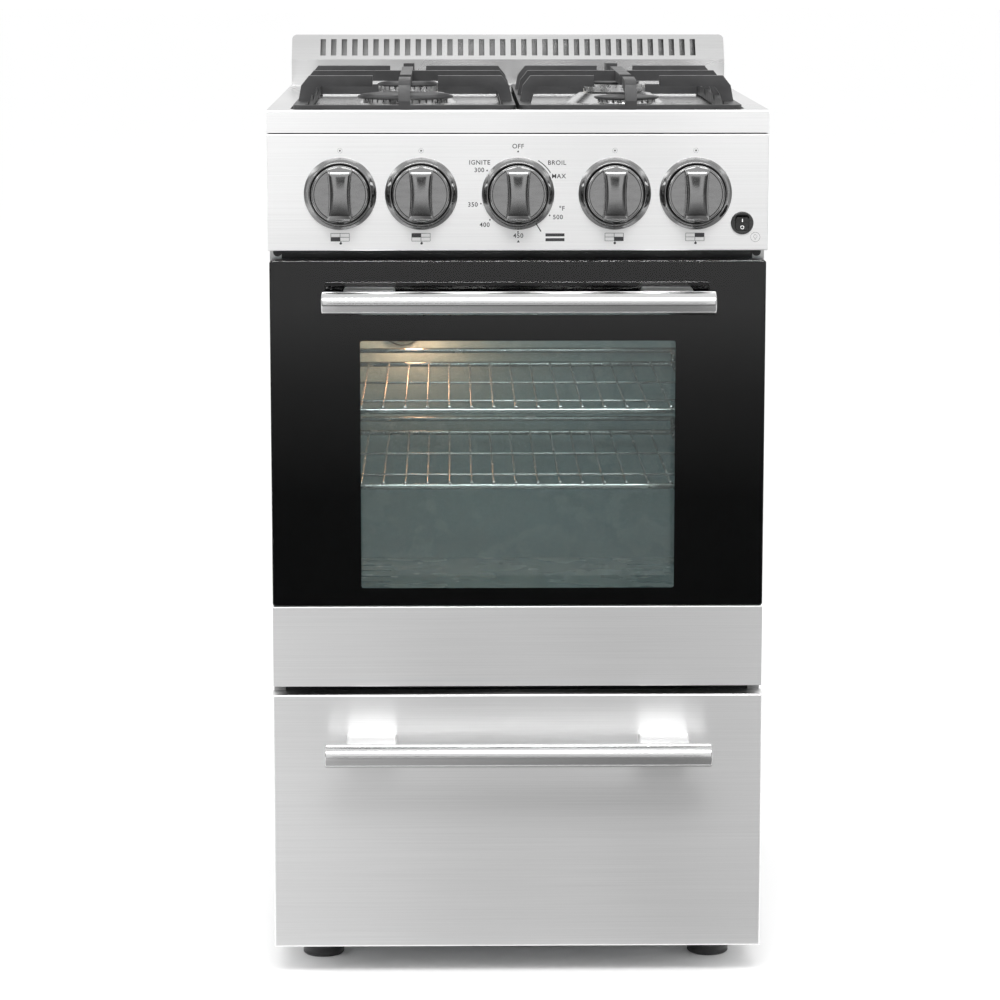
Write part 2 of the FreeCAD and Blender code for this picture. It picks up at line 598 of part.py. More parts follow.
def door_frame():
    """Door casing: a deep pan with a window and the welded hinge cheeks."""
    low, high = Z_DOOR + 1.5, Z_DOOR_TOP - 1.0
    wall = 1.5
    pan = box(-CASE_HALF, CASE_HALF, GLASS_T, DOOR_PAN, low, high)
    pan = pan.cut(box(-CASE_HALF + wall, CASE_HALF - wall, GLASS_T + wall, DOOR_PAN + 1,
                      low + wall, high - wall))
    pan = pan.cut(box(-WINDOW_HALF - 9, WINDOW_HALF + 9, 0, 20, WINDOW_Z0 - 12, WINDOW_Z1 + 12))
    pan = pan.cut(hinge_slots(HINGE_D - 8, Z_HINGE))
    cheeks = []
    for x in (-HINGE_X, HINGE_X):
        cheek = box(x - 8, x + 8, GLASS_T, HINGE_D + 15, Z_DOOR + 4, Z_HINGE + 30)
        cheek = cheek.cut(box(x - 5, x + 5, GLASS_T + 3, DOOR_T, Z_DOOR, Z_HINGE + 12))
        cheeks.append(cheek)
    body = fused([pan] + cheeks)
    for x in (-HINGE_X, HINGE_X):
        body = body.cut(rod(x - 12, HINGE_D, Z_HINGE, (1, 0, 0), HINGE_PIN_R + FIT, 24))
    return body


def door_inner_panel():
    """Enamelled inner face of the door, raised in the middle, with its window."""
    low, high = Z_HINGE, Z_DOOR_TOP - 1.0
    flange = box(-CASE_HALF, CASE_HALF, DOOR_PAN, DOOR_PAN + SHEET, low, high)
    step = 8.0
    hat = box(-CASE_HALF + step, CASE_HALF - step, DOOR_PAN, DOOR_T, low + step, high - step)
    hat = round_edges(hat, 6, lambda edge: runs_along(edge, "y"))
    inside = box(-CASE_HALF + step + SHEET, CASE_HALF - step - SHEET, DOOR_PAN - 1,
                 DOOR_T - SHEET, low + step + SHEET, high - step - SHEET)
    window = box(-WINDOW_HALF - 7, WINDOW_HALF + 7, 0, 60, WINDOW_Z0 - 8, WINDOW_Z1 + 8)
    window = round_edges(window, 10, lambda edge: runs_along(edge, "y"))
    panel = fused([flange, hat]).cut(inside).cut(window)
    return panel.cut(hinge_slots(0, Z_HINGE + TONGUE_H / 2 + 4))


def door_glass_inner():
    """Inner pane, held against the raised face of the inner panel."""
    return box(-WINDOW_HALF - 20, WINDOW_HALF + 20, DOOR_T - SHEET - GLASS_T, DOOR_T - SHEET,
               WINDOW_Z0 - 22, WINDOW_Z1 + 22)


def handle_bar(z):
    """Round handle bar with softened ends."""
    bar = rod(-HANDLE_HALF, -HANDLE_REACH, z, (1, 0, 0), HANDLE_R, 2 * HANDLE_HALF)
    return round_edges(bar, 1.2, lambda edge: isinstance(edge.Curve, Part.Circle))


def handle_posts(z):
    """The two broad posts between a face and its bar."""
    posts = []
    for side in (-1, 1):
        x0, x1 = sorted((side * POST_IN, side * POST_OUT))
        post = box(x0, x1, -HANDLE_REACH, 0, z + POST_TOP - POST_H, z + POST_TOP)
        post = round_edges(post, 2.5, lambda edge: runs_along(edge, "y"))
        bar = rod(-HANDLE_HALF, -HANDLE_REACH, z, (1, 0, 0), HANDLE_R, 2 * HANDLE_HALF)
        posts.append(post.cut(bar))
    solids = [max(post.Solids, key=lambda solid: solid.Volume) for post in posts]
    return Part.makeCompound(solids)


# ---- drawer --------------------------------------------------------------
def drawer_front():
    """Folded steel front of the drawer."""
    pan = box(-HALF, HALF, 0, DRAWER_T, Z_DRAWER, Z_DRAWER_TOP)
    front = lambda edge: edge.BoundBox.YMax < 0.01
    pan = round_edges(pan, 2.4, front)
    return pan.cut(box(-HALF + SHEET, HALF - SHEET, SHEET, DRAWER_T + 1,
                       Z_DRAWER + SHEET, Z_DRAWER_TOP - SHEET))


def drawer_box():
    """Open tray behind the drawer front, with its runners."""
    z0 = Z_DRAWER + BOX_UP
    plate = box(-HALF + 12, HALF - 12, DRAWER_T, DRAWER_T + SHEET, Z_DRAWER + 8, Z_DRAWER_TOP - 6)
    tray = box(-BOX_HALF, BOX_HALF, DRAWER_T, BOX_BACK, z0, z0 + BOX_H)
    tray = tray.cut(box(-BOX_HALF + SHEET, BOX_HALF - SHEET, DRAWER_T + SHEET, BOX_BACK - SHEET,
                        z0 + SHEET, z0 + BOX_H + 1))
    z = Z_DRAWER + RUNNER_UP
    runner = box(BOX_HALF - 0.5, BOX_HALF + RUNNER_W, LINER_D + 12, BOX_BACK, z, z + RUNNER_H)
    return fused([plate, tray, runner, mirrored(runner)])


def broiler_pan():
    """Shallow enamelled pan that stands in the drawer."""
    z0 = Z_DRAWER + BOX_UP + SHEET
    y0 = DRAWER_T + 30
    pan = box(-PAN_HALF, PAN_HALF, y0, y0 + PAN_DEPTH, z0, z0 + PAN_H)
    pan = round_edges(pan, 20, lambda edge: runs_along(edge, "z"))
    inner = box(-PAN_HALF + 2, PAN_HALF - 2, y0 + 2, y0 + PAN_DEPTH - 2, z0 + 2, z0 + PAN_H + 1)
    inner = round_edges(inner, 18, lambda edge: runs_along(edge, "z"))
    return pan.cut(inner)


def broiler_grid():
    """Slotted sheet on top of the broiler pan."""
    z0 = Z_DRAWER + BOX_UP + SHEET + PAN_H
    y0 = DRAWER_T + 30
    grid = box(-PAN_HALF, PAN_HALF, y0, y0 + PAN_DEPTH, z0, z0 + 2)
    grid = round_edges(grid, 20, lambda edge: runs_along(edge, "z"))
    cuts = []
    for column in range(-6, 7):
        for row in range(4):
            x = column * PAN_HALF / 7.2
            y = y0 + 30 + row * (PAN_DEPTH - 60) / 4
            cuts.append(box(x - 3, x + 3, y, y + (PAN_DEPTH - 60) / 5, z0 - 1, z0 + 3))
    return grid.cut(Part.makeCompound(cuts))


# ---- controls ------------------------------------------------------------
def control_panel():
    """Folded front panel with the holes for the stems and the switch."""
    panel = box(-HALF, HALF, 0, BODY_FRONT, Z_PANEL, Z_PANEL_TOP)
    front = lambda edge: edge.BoundBox.YMax < 0.01
    panel = round_edges(panel, 1.0, front)
    panel = panel.cut(box(-HALF + PANEL_T, HALF - PANEL_T, PANEL_T, BODY_FRONT + 1,
                          Z_PANEL + PANEL_T, Z_PANEL_TOP - PANEL_T))
    for x in KNOB_X:
        panel = panel.cut(rod(x, -1, Z_KNOB, (0, 1, 0), STEM_R + 3, 10))
    return panel.cut(rod(SWITCH_X, -1, Z_SWITCH, (0, 1, 0), SWITCH_R - SWITCH_LIP, 10))


def knob_bezels():
    """Chromed cone ring behind each knob."""
    outline = [(STEM_R + 2, 0), (BEZEL_R - 0.6, 0), (BEZEL_R, 0.8), (BEZEL_LIP_R + 0.7, BEZEL_T - 0.9),
               (BEZEL_LIP_R, BEZEL_T), (BEZEL_BORE_R + 0.6, BEZEL_T), (BEZEL_BORE_R, BEZEL_T - 0.9),
               (BEZEL_BORE_R, BEZEL_BASE), (STEM_R + 2, BEZEL_BASE)]
    return Part.makeCompound([turned(outline, x, 0, Z_KNOB, (0, -1, 0)) for x in KNOB_X])


def valve_stem(x):
    """Gas tap stem with a flat on its front end."""
    stem = rod(x, -STEM_FRONT, Z_KNOB, (0, 1, 0), STEM_R, STEM_FRONT + STEM_BACK)
    flat = box(x - 5, x + 5, -STEM_FRONT - 1, -BEZEL_BASE, Z_KNOB + STEM_FLAT, Z_KNOB + 5)
    return stem.cut(flat)


def knob(x):
    """Round knob with a waisted grip bar between two flat sides."""
    base = rod(x, -KNOB_FACE, Z_KNOB, (0, 1, 0), KNOB_R, KNOB_FACE - KNOB_BACK)
    core = rod(x, -KNOB_FRONT, Z_KNOB, (0, 1, 0), KNOB_R, KNOB_FRONT - KNOB_BACK)
    reach = KNOB_R + 2
    sag = (GRIP_W - GRIP_WAIST) / 2
    curve = (reach * reach + sag * sag) / (2 * sag)
    grip = box(x - GRIP_W, x + GRIP_W, -KNOB_FRONT, -KNOB_BACK, Z_KNOB - reach, Z_KNOB + reach)
    for side in (-1, 1):
        centre = x + side * (GRIP_WAIST / 2 + curve)
        grip = grip.cut(rod(centre, -KNOB_FRONT - 1, Z_KNOB, (0, 1, 0), curve, KNOB_FRONT))
    crown = 110.0
    dome = rod(x - 40, -KNOB_FRONT + crown, Z_KNOB, (1, 0, 0), crown, 80)
    body = fused([base, grip.common(core).common(dome)])
    socket = rod(x, -KNOB_BACK + 1, Z_KNOB, (0, -1, 0), STEM_R + FIT,
                 STEM_FRONT - KNOB_BACK + KNOB_TRAVEL + 3)
    flat = box(x - 6, x + 6, -KNOB_FRONT, 0, Z_KNOB + STEM_FLAT + FIT, Z_KNOB + 7)
    return body.cut(socket.cut(flat))


def gas_valves():
    """Four burner taps and the larger oven thermostat, saddled on the manifold."""
    valves = []
    for n, x in enumerate(KNOB_X):
        half = VALVE_HALF + (8 if n == 2 else 0)
        nose = rod(x, VALVE_FRONT, Z_KNOB, (0, 1, 0), VALVE_NOSE_R, VALVE_D0 - VALVE_FRONT + 1)
        body = box(x - half, x + half, VALVE_D0, VALVE_D1, Z_KNOB - half, Z_KNOB + half)
        body = round_edges(body, 3, lambda edge: runs_along(edge, "y"))
        spigot = rod(x, VALVE_D1 - 1, Z_KNOB, (0, 1, 0), 6, MANIFOLD_D - VALVE_D1)
        valve = fused([nose, body, spigot])
        valve = valve.cut(rod(-HALF, MANIFOLD_D, Z_KNOB, (1, 0, 0), MANIFOLD_R, WIDTH))
        valves.append(valve.cut(rod(x, 0, Z_KNOB, (0, 1, 0), STEM_R + FIT, STEM_BACK + 2)))
    return Part.makeCompound(valves)


def gas_pipework():
    """Manifold with the rear inlet, and the tubes from the taps to the burners."""
    bore = REAR_D - 14
    main = pipe([(-KNOB_X[4] - 22, MANIFOLD_D, Z_KNOB), (SUPPLY_X, MANIFOLD_D, Z_KNOB),
                 (SUPPLY_X, bore, Z_KNOB)], MANIFOLD_R)
    nut = hexagon(SUPPLY_X, REAR_D - 10, Z_KNOB, 30, 10)
    lock = hexagon(SUPPLY_X, REAR_D + SHEET, Z_KNOB, 30, BODY_DEPTH - INLET_OUT - REAR_D - SHEET)
    stub = rod(SUPPLY_X, bore - 10, Z_KNOB, (0, 1, 0), INLET_R, BODY_DEPTH - bore + 10)
    hollow = rod(SUPPLY_X, REAR_D, Z_KNOB, (0, 1, 0), INLET_R - 3, 60)
    pieces = [fused([main, nut, lock, stub]).cut(hollow)]
    y = (VALVE_D0 + VALVE_D1) / 2
    z0 = Z_KNOB + VALVE_HALF
    z1 = Z_CUP - CUP_H + JET_UP
    for side in (-1, 1):
        cup = side * BURNER_X
        near, far = side * KNOB_X[3], side * KNOB_X[4]
        jet = CUP_R + JET_ARM
        for x, burner in ((near, FRONT_BURNER), (far, REAR_BURNER)):
            bend = max(y + 1, burner - 2 * jet)
            end = burner - jet
            pieces.append(pipe([(x, y, z0), (x, y, z1), (x, bend, z1), (cup, end - 6, z1),
                                (cup, end, z1)], GAS_TUBE_R))
    return Part.makeCompound(pieces)


def switch_housing():
    """Round housing of the oven light's switch."""
    ring = turned([(0, 0), (SWITCH_R, 0), (SWITCH_R, 1.8), (SWITCH_R - 0.8, 2.6), (0, 2.6)],
                  SWITCH_X, 0, Z_SWITCH, (0, -1, 0))
    barrel = rod(SWITCH_X, -0.5, Z_SWITCH, (0, 1, 0), SWITCH_R - SWITCH_LIP, 16.5)
    wide = ROCKER_W / 2 + RUN_GAP
    tall = ROCKER_H / 2 + 1.2
    pocket = box(SWITCH_X - wide, SWITCH_X + wide, -10, 9, Z_SWITCH - tall, Z_SWITCH + tall)
    pocket = round_edges(pocket, 3.0, lambda edge: runs_along(edge, "y"))
    house = fused([ring, barrel]).cut(pocket)
    pin = rod(SWITCH_X - wide - 1.5, ROCKER_PIVOT, Z_SWITCH, (1, 0, 0), ROCKER_PIN_R + FIT,
              2 * wide + 3)
    return house.cut(pin)


def switch_rocker():
    """Rocker with a shallow V front, on two short pins."""
    half = ROCKER_H / 2
    outline = [(-3.8, -half), (-3.2, 0), (-3.8, half), (4.5, half - 1), (4.5, 1 - half)]
    body = prism(outline, "yz", SWITCH_X - ROCKER_W / 2, ROCKER_W)
    plan = box(SWITCH_X - ROCKER_W / 2, SWITCH_X + ROCKER_W / 2, -10, 10, -half, half)
    body = body.common(round_edges(plan, 2.6, lambda edge: runs_along(edge, "y")))
    pin = rod(SWITCH_X - ROCKER_W / 2 - 1.5, ROCKER_PIVOT, 0, (1, 0, 0), ROCKER_PIN_R,
              ROCKER_W + 3)
    rocker = fused([body, pin])
    pivot = FreeCAD.Vector(SWITCH_X, ROCKER_PIVOT, 0)
    rocker.rotate(pivot, FreeCAD.Vector(1, 0, 0), ROCKER_TILT)
    rocker.translate(FreeCAD.Vector(0, 0, Z_SWITCH))
    return rocker


# ---- cooktop -------------------------------------------------------------
def well(depth0, depth1, grow):
    """The sunk middle of the cooktop, from its rim down."""
    block = box(-HALF + RIM_SIDE - grow, HALF - RIM_SIDE + grow, RIM_FRONT - grow,
                COOKTOP_DEPTH - RIM_BACK + grow, depth0, depth1)
    return round_edges(block, WELL_R + grow, lambda edge: runs_along(edge, "z"))


def domes(shrink, low):
    """The raised rounds that the burners stand on."""
    rounds = []
    for side, y, *rest in BURNERS:
        rounds.append(turned([(0, low), (DOME_R0 - shrink, low), (DOME_R0 - shrink, Z_WELL - shrink),
                              (DOME_R1 - shrink, Z_TOP - shrink), (0, Z_TOP - shrink)],
                             side * BURNER_X, y, 0, (0, 0, 1)))
    return rounds


def cooktop():
    """Pressed steel top with a raised rim, a well and four domes."""
    outer = box(-HALF, HALF, 0, COOKTOP_DEPTH, Z_LIP, Z_TOP)
    soft = lambda edge: edge.BoundBox.ZMin > Z_TOP - 0.01 and edge.BoundBox.YMax < COOKTOP_DEPTH - 1
    outer = round_edges(outer, 1.2, soft)
    outer = outer.cut(well(Z_WELL, Z_TOP + 1, 0))
    outer = fused([outer] + domes(0, Z_WELL - 1))
    hollow = box(-HALF + TOP_SHEET, HALF - TOP_SHEET, TOP_SHEET, COOKTOP_DEPTH - TOP_SHEET,
                 Z_LIP - 1, Z_TOP - TOP_SHEET)
    hollow = hollow.cut(well(Z_WELL - TOP_SHEET, Z_TOP, TOP_SHEET))
    shell = outer.cut(hollow)
    for dome in domes(TOP_SHEET, Z_WELL - 3):
        shell = shell.cut(dome)
    for side, y, crown_r, *rest in BURNERS:
        shell = shell.cut(rod(side * BURNER_X, y, Z_LIP - 5, (0, 0, 1), CUP_R, 60))
        x, back = igniter_place(side, y, crown_r)
        shell = shell.cut(rod(x, back, Z_LIP - 5, (0, 0, 1), IGNITER_R, 60))
    return shell


IGNITER_R = 3.2
IGNITER_TURN = math.radians(38)


def igniter_place(side, y, crown_r):
    """Where a burner's spark plug stands, beside the crown."""
    reach = crown_r + IGNITER_R + 1.5
    return (side * (BURNER_X - reach * math.cos(IGNITER_TURN)), y + reach * math.sin(IGNITER_TURN))


def burner_cups():
    """Cast cups under the cooktop with their jet arms."""
    cups = []
    for side, y, crown_r, *rest in BURNERS:
        x = side * BURNER_X
        low = Z_CUP - CUP_H
        sheet = Z_TOP - TOP_SHEET
        outline = [(0, low), (CUP_R - 3, low), (CUP_R, low + 3), (CUP_R, sheet - 3),
                   (CUP_FLANGE_R, sheet - 3), (CUP_FLANGE_R, sheet), (CUP_R, sheet),
                   (CUP_R, Z_CUP), (CUP_BORE_R, Z_CUP), (CUP_BORE_R, low + 18), (0, low + 18)]
        cup = turned(outline, x, y, 0, (0, 0, 1))
        arm = rod(x, y, low + JET_UP, (0, -1, 0), 7, CUP_R + JET_ARM)
        plug_x, plug_y = igniter_place(side, y, crown_r)
        cups.append(fused([cup, arm]).cut(rod(plug_x, plug_y, Z_LIP, (0, 0, 1), IGNITER_R, 40)))
    return Part.makeCompound(cups)


def burner_heads():
    """Aluminium crowns with radial gas slots."""
    crowns = []
    for side, y, crown_r, crown_h, cap_r, cap_h, slots in BURNERS:
        x = side * BURNER_X
        outline = [(CUP_BORE_R - 5, Z_CUP - 14), (CUP_BORE_R - FIT, Z_CUP - 14),
                   (CUP_BORE_R - FIT, Z_CUP), (crown_r - 2, Z_CUP), (crown_r, Z_CUP + 1),
                   (crown_r, Z_CUP + crown_h), (CUP_BORE_R - 5, Z_CUP + crown_h)]
        crown = turned(outline, x, y, 0, (0, 0, 1))
        cuts = []
        for n in range(slots):
            slot = box(crown_r - 7, crown_r + 3, -0.9, 0.9, Z_CUP + crown_h - 3.5, Z_CUP + crown_h + 1)
            slot.rotate(FreeCAD.Vector(0, 0, 0), FreeCAD.Vector(0, 0, 1), 360.0 * n / slots)
            slot.translate(FreeCAD.Vector(x, y, 0))
            cuts.append(slot)
        crowns.append(crown.cut(Part.makeCompound(cuts)))
    return Part.makeCompound(crowns)


def burner_caps():
    """Enamelled caps with a soft crown."""
    caps = []
    for side, y, crown_r, crown_h, cap_r, cap_h, slots in BURNERS:
        low = Z_CUP + crown_h
        outline = [(0, low), (cap_r - 2, low), (cap_r, low + 1.5), (cap_r - 0.6, low + 2.6),
                   (cap_r - 5, low + cap_h - 0.8), (cap_r - 12, low + cap_h), (0, low + cap_h)]
        caps.append(turned(outline, side * BURNER_X, y, 0, (0, 0, 1)))
    return Part.makeCompound(caps)


def burner_igniters():
    """Ceramic spark plugs with their steel tips."""
    plugs = []
    for side, y, crown_r, crown_h, *rest in BURNERS:
        x, back = igniter_place(side, y, crown_r)
        top = Z_CUP + crown_h - 2.5
        plugs.append(turned([(0, Z_LIP), (IGNITER_R, Z_LIP), (IGNITER_R, top - 4),
                             (1.9, top - 3), (1.9, top - 0.8), (1.2, top), (0, top)],
                            x, back, 0, (0, 0, 1)))
    return Part.makeCompound(plugs)


# ---- grates --------------------------------------------------------------
def grate(side):
    """Cast grate: a low ring, three arched bars, a spine and two fingers."""
    low, high = Z_RAIL, Z_GRATE
    under = high - BAR_H
    rail = low + BAR_H
    y0, y1 = GRATE_FRONT, GRATE_FRONT + GRATE_DEPTH
    half = GRATE_HALF
    ring = round_edges(box(-half, half, y0, y1, low, rail), GRATE_R,
                       lambda edge: runs_along(edge, "z"))
    ring = ring.cut(box(-half + BAR_W, half - BAR_W, y0 + BAR_W, y1 - BAR_W, low - 1, rail + 1))
    pieces = [ring]
    lean, wide = LEG_LEAN, BAR_W - 1
    for y, inner in ((FRONT_BURNER, FRONT_GAP), (MID_BAR, -1.0), (REAR_BURNER, REAR_GAP)):
        arch = [(-half, low), (-half + lean, high - 10), (-half + lean + 8, high), (-inner, high),
                (-inner, under), (-half + lean + wide + 6, under),
                (-half + lean + wide, under - 8), (-half + wide, low)]
        for sign in (1, -1):
            outline = [(sign * u, z) for u, z in arch]
            pieces.append(prism(outline, "xz", y - BAR_W / 2, BAR_W))
    spine0, spine1 = FRONT_BURNER + SPINE_GAP, REAR_BURNER - SPINE_GAP
    pieces.append(box(-BAR_W / 2, BAR_W / 2, spine0, spine1, under, high))
    rise = [(0, low), (0, rail + 4), (5, high - 6), (13, high - 1.5), (FINGER, high),
            (FINGER, under), (19, under - 2), (13, under - 8), (12, low)]
    for start, sign in ((y0, 1), (y1, -1)):
        outline = [(start + sign * v, z) for v, z in rise]
        pieces.append(prism(outline, "yz", -BAR_W / 2, BAR_W))
    for u in (-half + 8, half - 8):
        for y in (y0 + 8, y1 - 8):
            pieces.append(rod(u, y, Z_WELL + 0.3, (0, 0, 1), 5.5, low - Z_WELL + 2))
    casting = fused(pieces)
    casting.translate(FreeCAD.Vector(side * BURNER_X, 0, 0))
    return casting


# ---- backguard -----------------------------------------------------------
def guard_outline(shrink):
    """Side view of the backguard, drawn in by shrink."""
    y0, y1 = COOKTOP_DEPTH + shrink, BODY_DEPTH - shrink
    knee = Z_TOP + GUARD_FACE_H - shrink * 0.4
    top = Z_TOP + BACKGUARD_H - shrink
    low = Z_LIP - (1 if shrink else 0)
    edge = COOKTOP_DEPTH + GUARD_SLOPE_D + shrink * 0.5
    return [(y0, low), (y0, knee), (edge, top), (y1, top), (y1, low)]


def backguard():
    """Hollow upstand with a sloped, slotted vent face."""
    outer = prism(guard_outline(0), "yz", -HALF, WIDTH)
    top = Z_TOP + BACKGUARD_H - 0.01
    ends = lambda edge: edge.BoundBox.ZMin > top and runs_along(edge, "y")
    outer = round_edges(outer, GUARD_R, ends)
    shell = outer.cut(prism(guard_outline(SHEET), "yz", -HALF + SHEET, WIDTH - 2 * SHEET))
    cuts = []
    for n in range(SLOT_COUNT):
        x = (n - (SLOT_COUNT - 1) / 2) * SLOT_PITCH
        cuts.append(box(x - SLOT_W / 2, x + SLOT_W / 2, COOKTOP_DEPTH - 1, BODY_DEPTH - 5,
                        Z_TOP + SLOT_Z0, Z_TOP + SLOT_Z1))
    return shell.cut(Part.makeCompound(cuts))


# ---- all pieces ----------------------------------------------------------
def main():
    os.makedirs("parts", exist_ok=True)
    right = side_panel()
    export("side_panel_right", right)
    export("side_panel_left", mirrored(right))
    for make in (rear_panel, base_frame, front_frame, frame_plugs, hinge_receivers, drawer_rails,
                 oven_liner, oven_insulation, oven_floor, oven_burner, flue_duct, rack_guides,
                 oven_lamp_bulb, oven_lamp_cover, door_gasket,
                 door_glass_outer, door_trim, door_frame, door_inner_panel, door_glass_inner,
                 drawer_front, drawer_box, broiler_pan, broiler_grid,
                 control_panel, knob_bezels, gas_valves, gas_pipework,
                 switch_housing, switch_rocker,
                 cooktop, burner_cups, burner_heads, burner_caps, burner_igniters, backguard):
        export(make.__name__, make())
    for name, z in (("door", Z_DOOR_TOP - DOOR_BAR_DROP), ("drawer", Z_DRAWER_TOP - DRAWER_BAR_DROP)):
        export(name + "_handle_bar", handle_bar(z))
        export(name + "_handle_posts", handle_posts(z))
    export("rack_lower", oven_rack(RACK_LEVELS[1]))
    export("rack_upper", oven_rack(RACK_LEVELS[2]))
    export("grate_left", grate(-1))
    export("grate_right", grate(1))
    for n, x in enumerate(KNOB_X, 1):
        export("valve_stem_" + str(n), valve_stem(x))
        export("knob_" + str(n), knob(x))
    for row, y in zip(("front", "rear"), leg_depths()):
        for side, hand in ((-1, "left"), (1, "right")):
            export("leg_" + row + "_" + hand, leg(side, y))


main()
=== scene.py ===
import math

import bmesh
import bpy
from bpy.props import FloatProperty, FloatVectorProperty
from mathutils import Matrix, Vector
from mathutils.bvhtree import BVHTree


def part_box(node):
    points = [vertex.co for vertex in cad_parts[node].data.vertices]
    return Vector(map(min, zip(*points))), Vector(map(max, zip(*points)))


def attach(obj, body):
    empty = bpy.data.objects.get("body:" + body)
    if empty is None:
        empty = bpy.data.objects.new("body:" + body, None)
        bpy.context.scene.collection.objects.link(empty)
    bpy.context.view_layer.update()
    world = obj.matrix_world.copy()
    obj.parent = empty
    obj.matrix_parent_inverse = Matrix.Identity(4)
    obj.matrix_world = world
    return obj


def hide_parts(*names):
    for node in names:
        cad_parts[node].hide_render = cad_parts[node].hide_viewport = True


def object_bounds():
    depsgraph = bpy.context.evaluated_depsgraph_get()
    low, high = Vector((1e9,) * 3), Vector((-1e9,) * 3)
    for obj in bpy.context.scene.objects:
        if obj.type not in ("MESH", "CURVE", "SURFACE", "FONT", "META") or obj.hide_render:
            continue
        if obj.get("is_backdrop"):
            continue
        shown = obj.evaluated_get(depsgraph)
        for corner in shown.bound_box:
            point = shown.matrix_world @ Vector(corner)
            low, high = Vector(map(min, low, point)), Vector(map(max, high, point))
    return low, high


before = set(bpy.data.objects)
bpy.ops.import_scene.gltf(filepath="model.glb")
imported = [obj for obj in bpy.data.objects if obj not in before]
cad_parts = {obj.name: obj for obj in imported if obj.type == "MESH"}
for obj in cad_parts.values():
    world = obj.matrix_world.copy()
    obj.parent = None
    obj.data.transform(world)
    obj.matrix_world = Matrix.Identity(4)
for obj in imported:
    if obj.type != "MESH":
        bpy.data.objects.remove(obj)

bl_info = {
    "name": "Gas range finishes",
    "version": (1, 0, 0),
    "blender": (4, 5, 0),
    "location": "View3D > Sidebar > Gas range",
    "description": "Finishes and fine pieces for a freestanding gas range",
    "category": "Object",
}

CAD_LOW, CAD_HIGH = (corner.copy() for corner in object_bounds())
ALONG_X = (5, 900, 900)       # brushing grain
ALONG_Z = (900, 900, 5)
LEAST_PLANE = 0.0012          # square metres; larger planes are shaded flat
KNOB_COUNT = 5
OVEN_DIAL = 3
SKIRT = 0.0105                # height of a knob's round part
RING_GAP = 0.0022             # knob's CAD radius to its ring
RIM_WIRE, ROD_WIRE, STIFF_WIRE = 0.003, 0.0012, 0.0014     # radii in a rack
ROD_PITCH = 0.0233
STIFFENERS = (0.095, 0.25)    # behind a rack's front rim
STOP_RISE = 0.016             # a rack's back stop above its rim
BEAD = 0.0021                 # radius of a weld bead
INK, INK_LIFT = 0.00004, 0.00006     # thickness of the print, and its face above the panel
PANE_GAP = 0.0004             # door pane's back to the door case
LIP = 0.004                   # depth of the cooktop's front lip


# ---------------------------------------------------------------- finishes
class Finish:
    """A node material built round one Principled shader."""

    def __init__(self, name, colour, metallic=0.0, roughness=0.5):
        self.material = bpy.data.materials.new(name)
        self.material.use_nodes = True
        self.nodes = self.material.node_tree.nodes
        self.links = self.material.node_tree.links
        self.shader = self.nodes["Principled BSDF"]
        self.set("Base Color", (*colour, 1.0))
        self.set("Metallic", metallic)
        self.set("Roughness", roughness)
        self.last_bump = None
        self.place = self.nodes.new("ShaderNodeTexCoord").outputs["Object"]

    def set(self, socket, value):
        self.shader.inputs[socket].default_value = value
        return self

    def noise(self, scale, stretch=(1, 1, 1), detail=3.0, rough=0.5):
        """Noise at a scale per metre, drawn out where stretch is small."""
        mapping = self.nodes.new("ShaderNodeMapping")
        mapping.inputs["Scale"].default_value = stretch
        self.links.new(self.place, mapping.inputs["Vector"])
        noise = self.nodes.new("ShaderNodeTexNoise")
        noise.inputs["Scale"].default_value = scale
        noise.inputs["Detail"].default_value = detail
        noise.inputs["Roughness"].default_value = rough
        self.links.new(mapping.outputs["Vector"], noise.inputs["Vector"])
        return noise.outputs["Fac"]

    def specks(self, scale, width=0.12):
        """Small round dots, 1 inside and 0 between them."""
        return self.ranged(self.cells(scale)["Distance"], 1.0, 0.0, width, width * 1.6)

    def cells(self, scale):
        """The outputs of a pattern of cells."""
        cells = self.nodes.new("ShaderNodeTexVoronoi")
        cells.inputs["Scale"].default_value = scale
        self.links.new(self.place, cells.inputs["Vector"])
        return cells.outputs

    def ranged(self, fac, low, high, start=0.3, end=0.7):
        """The factor mapped on to low and high."""
        step = self.nodes.new("ShaderNodeMapRange")
        step.inputs["From Min"].default_value = start
        step.inputs["From Max"].default_value = end
        step.inputs["To Min"].default_value = low
        step.inputs["To Max"].default_value = high
        self.links.new(fac, step.inputs["Value"])
        return step.outputs["Result"]

    def vary(self, socket, fac, low, high):
        self.links.new(self.ranged(fac, low, high), self.shader.inputs[socket])
        return self

    def tint(self, fac, dark, light):
        """Base colour between two tones."""
        ramp = self.nodes.new("ShaderNodeValToRGB")
        ramp.color_ramp.elements[0].color = (*dark, 1.0)
        ramp.color_ramp.elements[1].color = (*light, 1.0)
        ramp.color_ramp.elements[0].position = 0.3
        ramp.color_ramp.elements[1].position = 0.7
        self.links.new(fac, ramp.inputs["Fac"])
        self.links.new(ramp.outputs["Color"], self.shader.inputs["Base Color"])
        return self

    def bump(self, fac, depth, strength=1.0):
        """Relief of that depth, in metres, on top of any relief so far."""
        bump = self.nodes.new("ShaderNodeBump")
        bump.inputs["Distance"].default_value = depth
        bump.inputs["Strength"].default_value = strength
        self.links.new(fac, bump.inputs["Height"])
        if self.last_bump:
            self.links.new(self.last_bump, bump.inputs["Normal"])
        self.last_bump = bump.outputs["Normal"]
        self.links.new(self.last_bump, self.shader.inputs["Normal"])
        return self


def shade(colour, factor):
    """The colour made lighter or darker."""
    return tuple(min(1.0, channel * factor) for channel in colour)


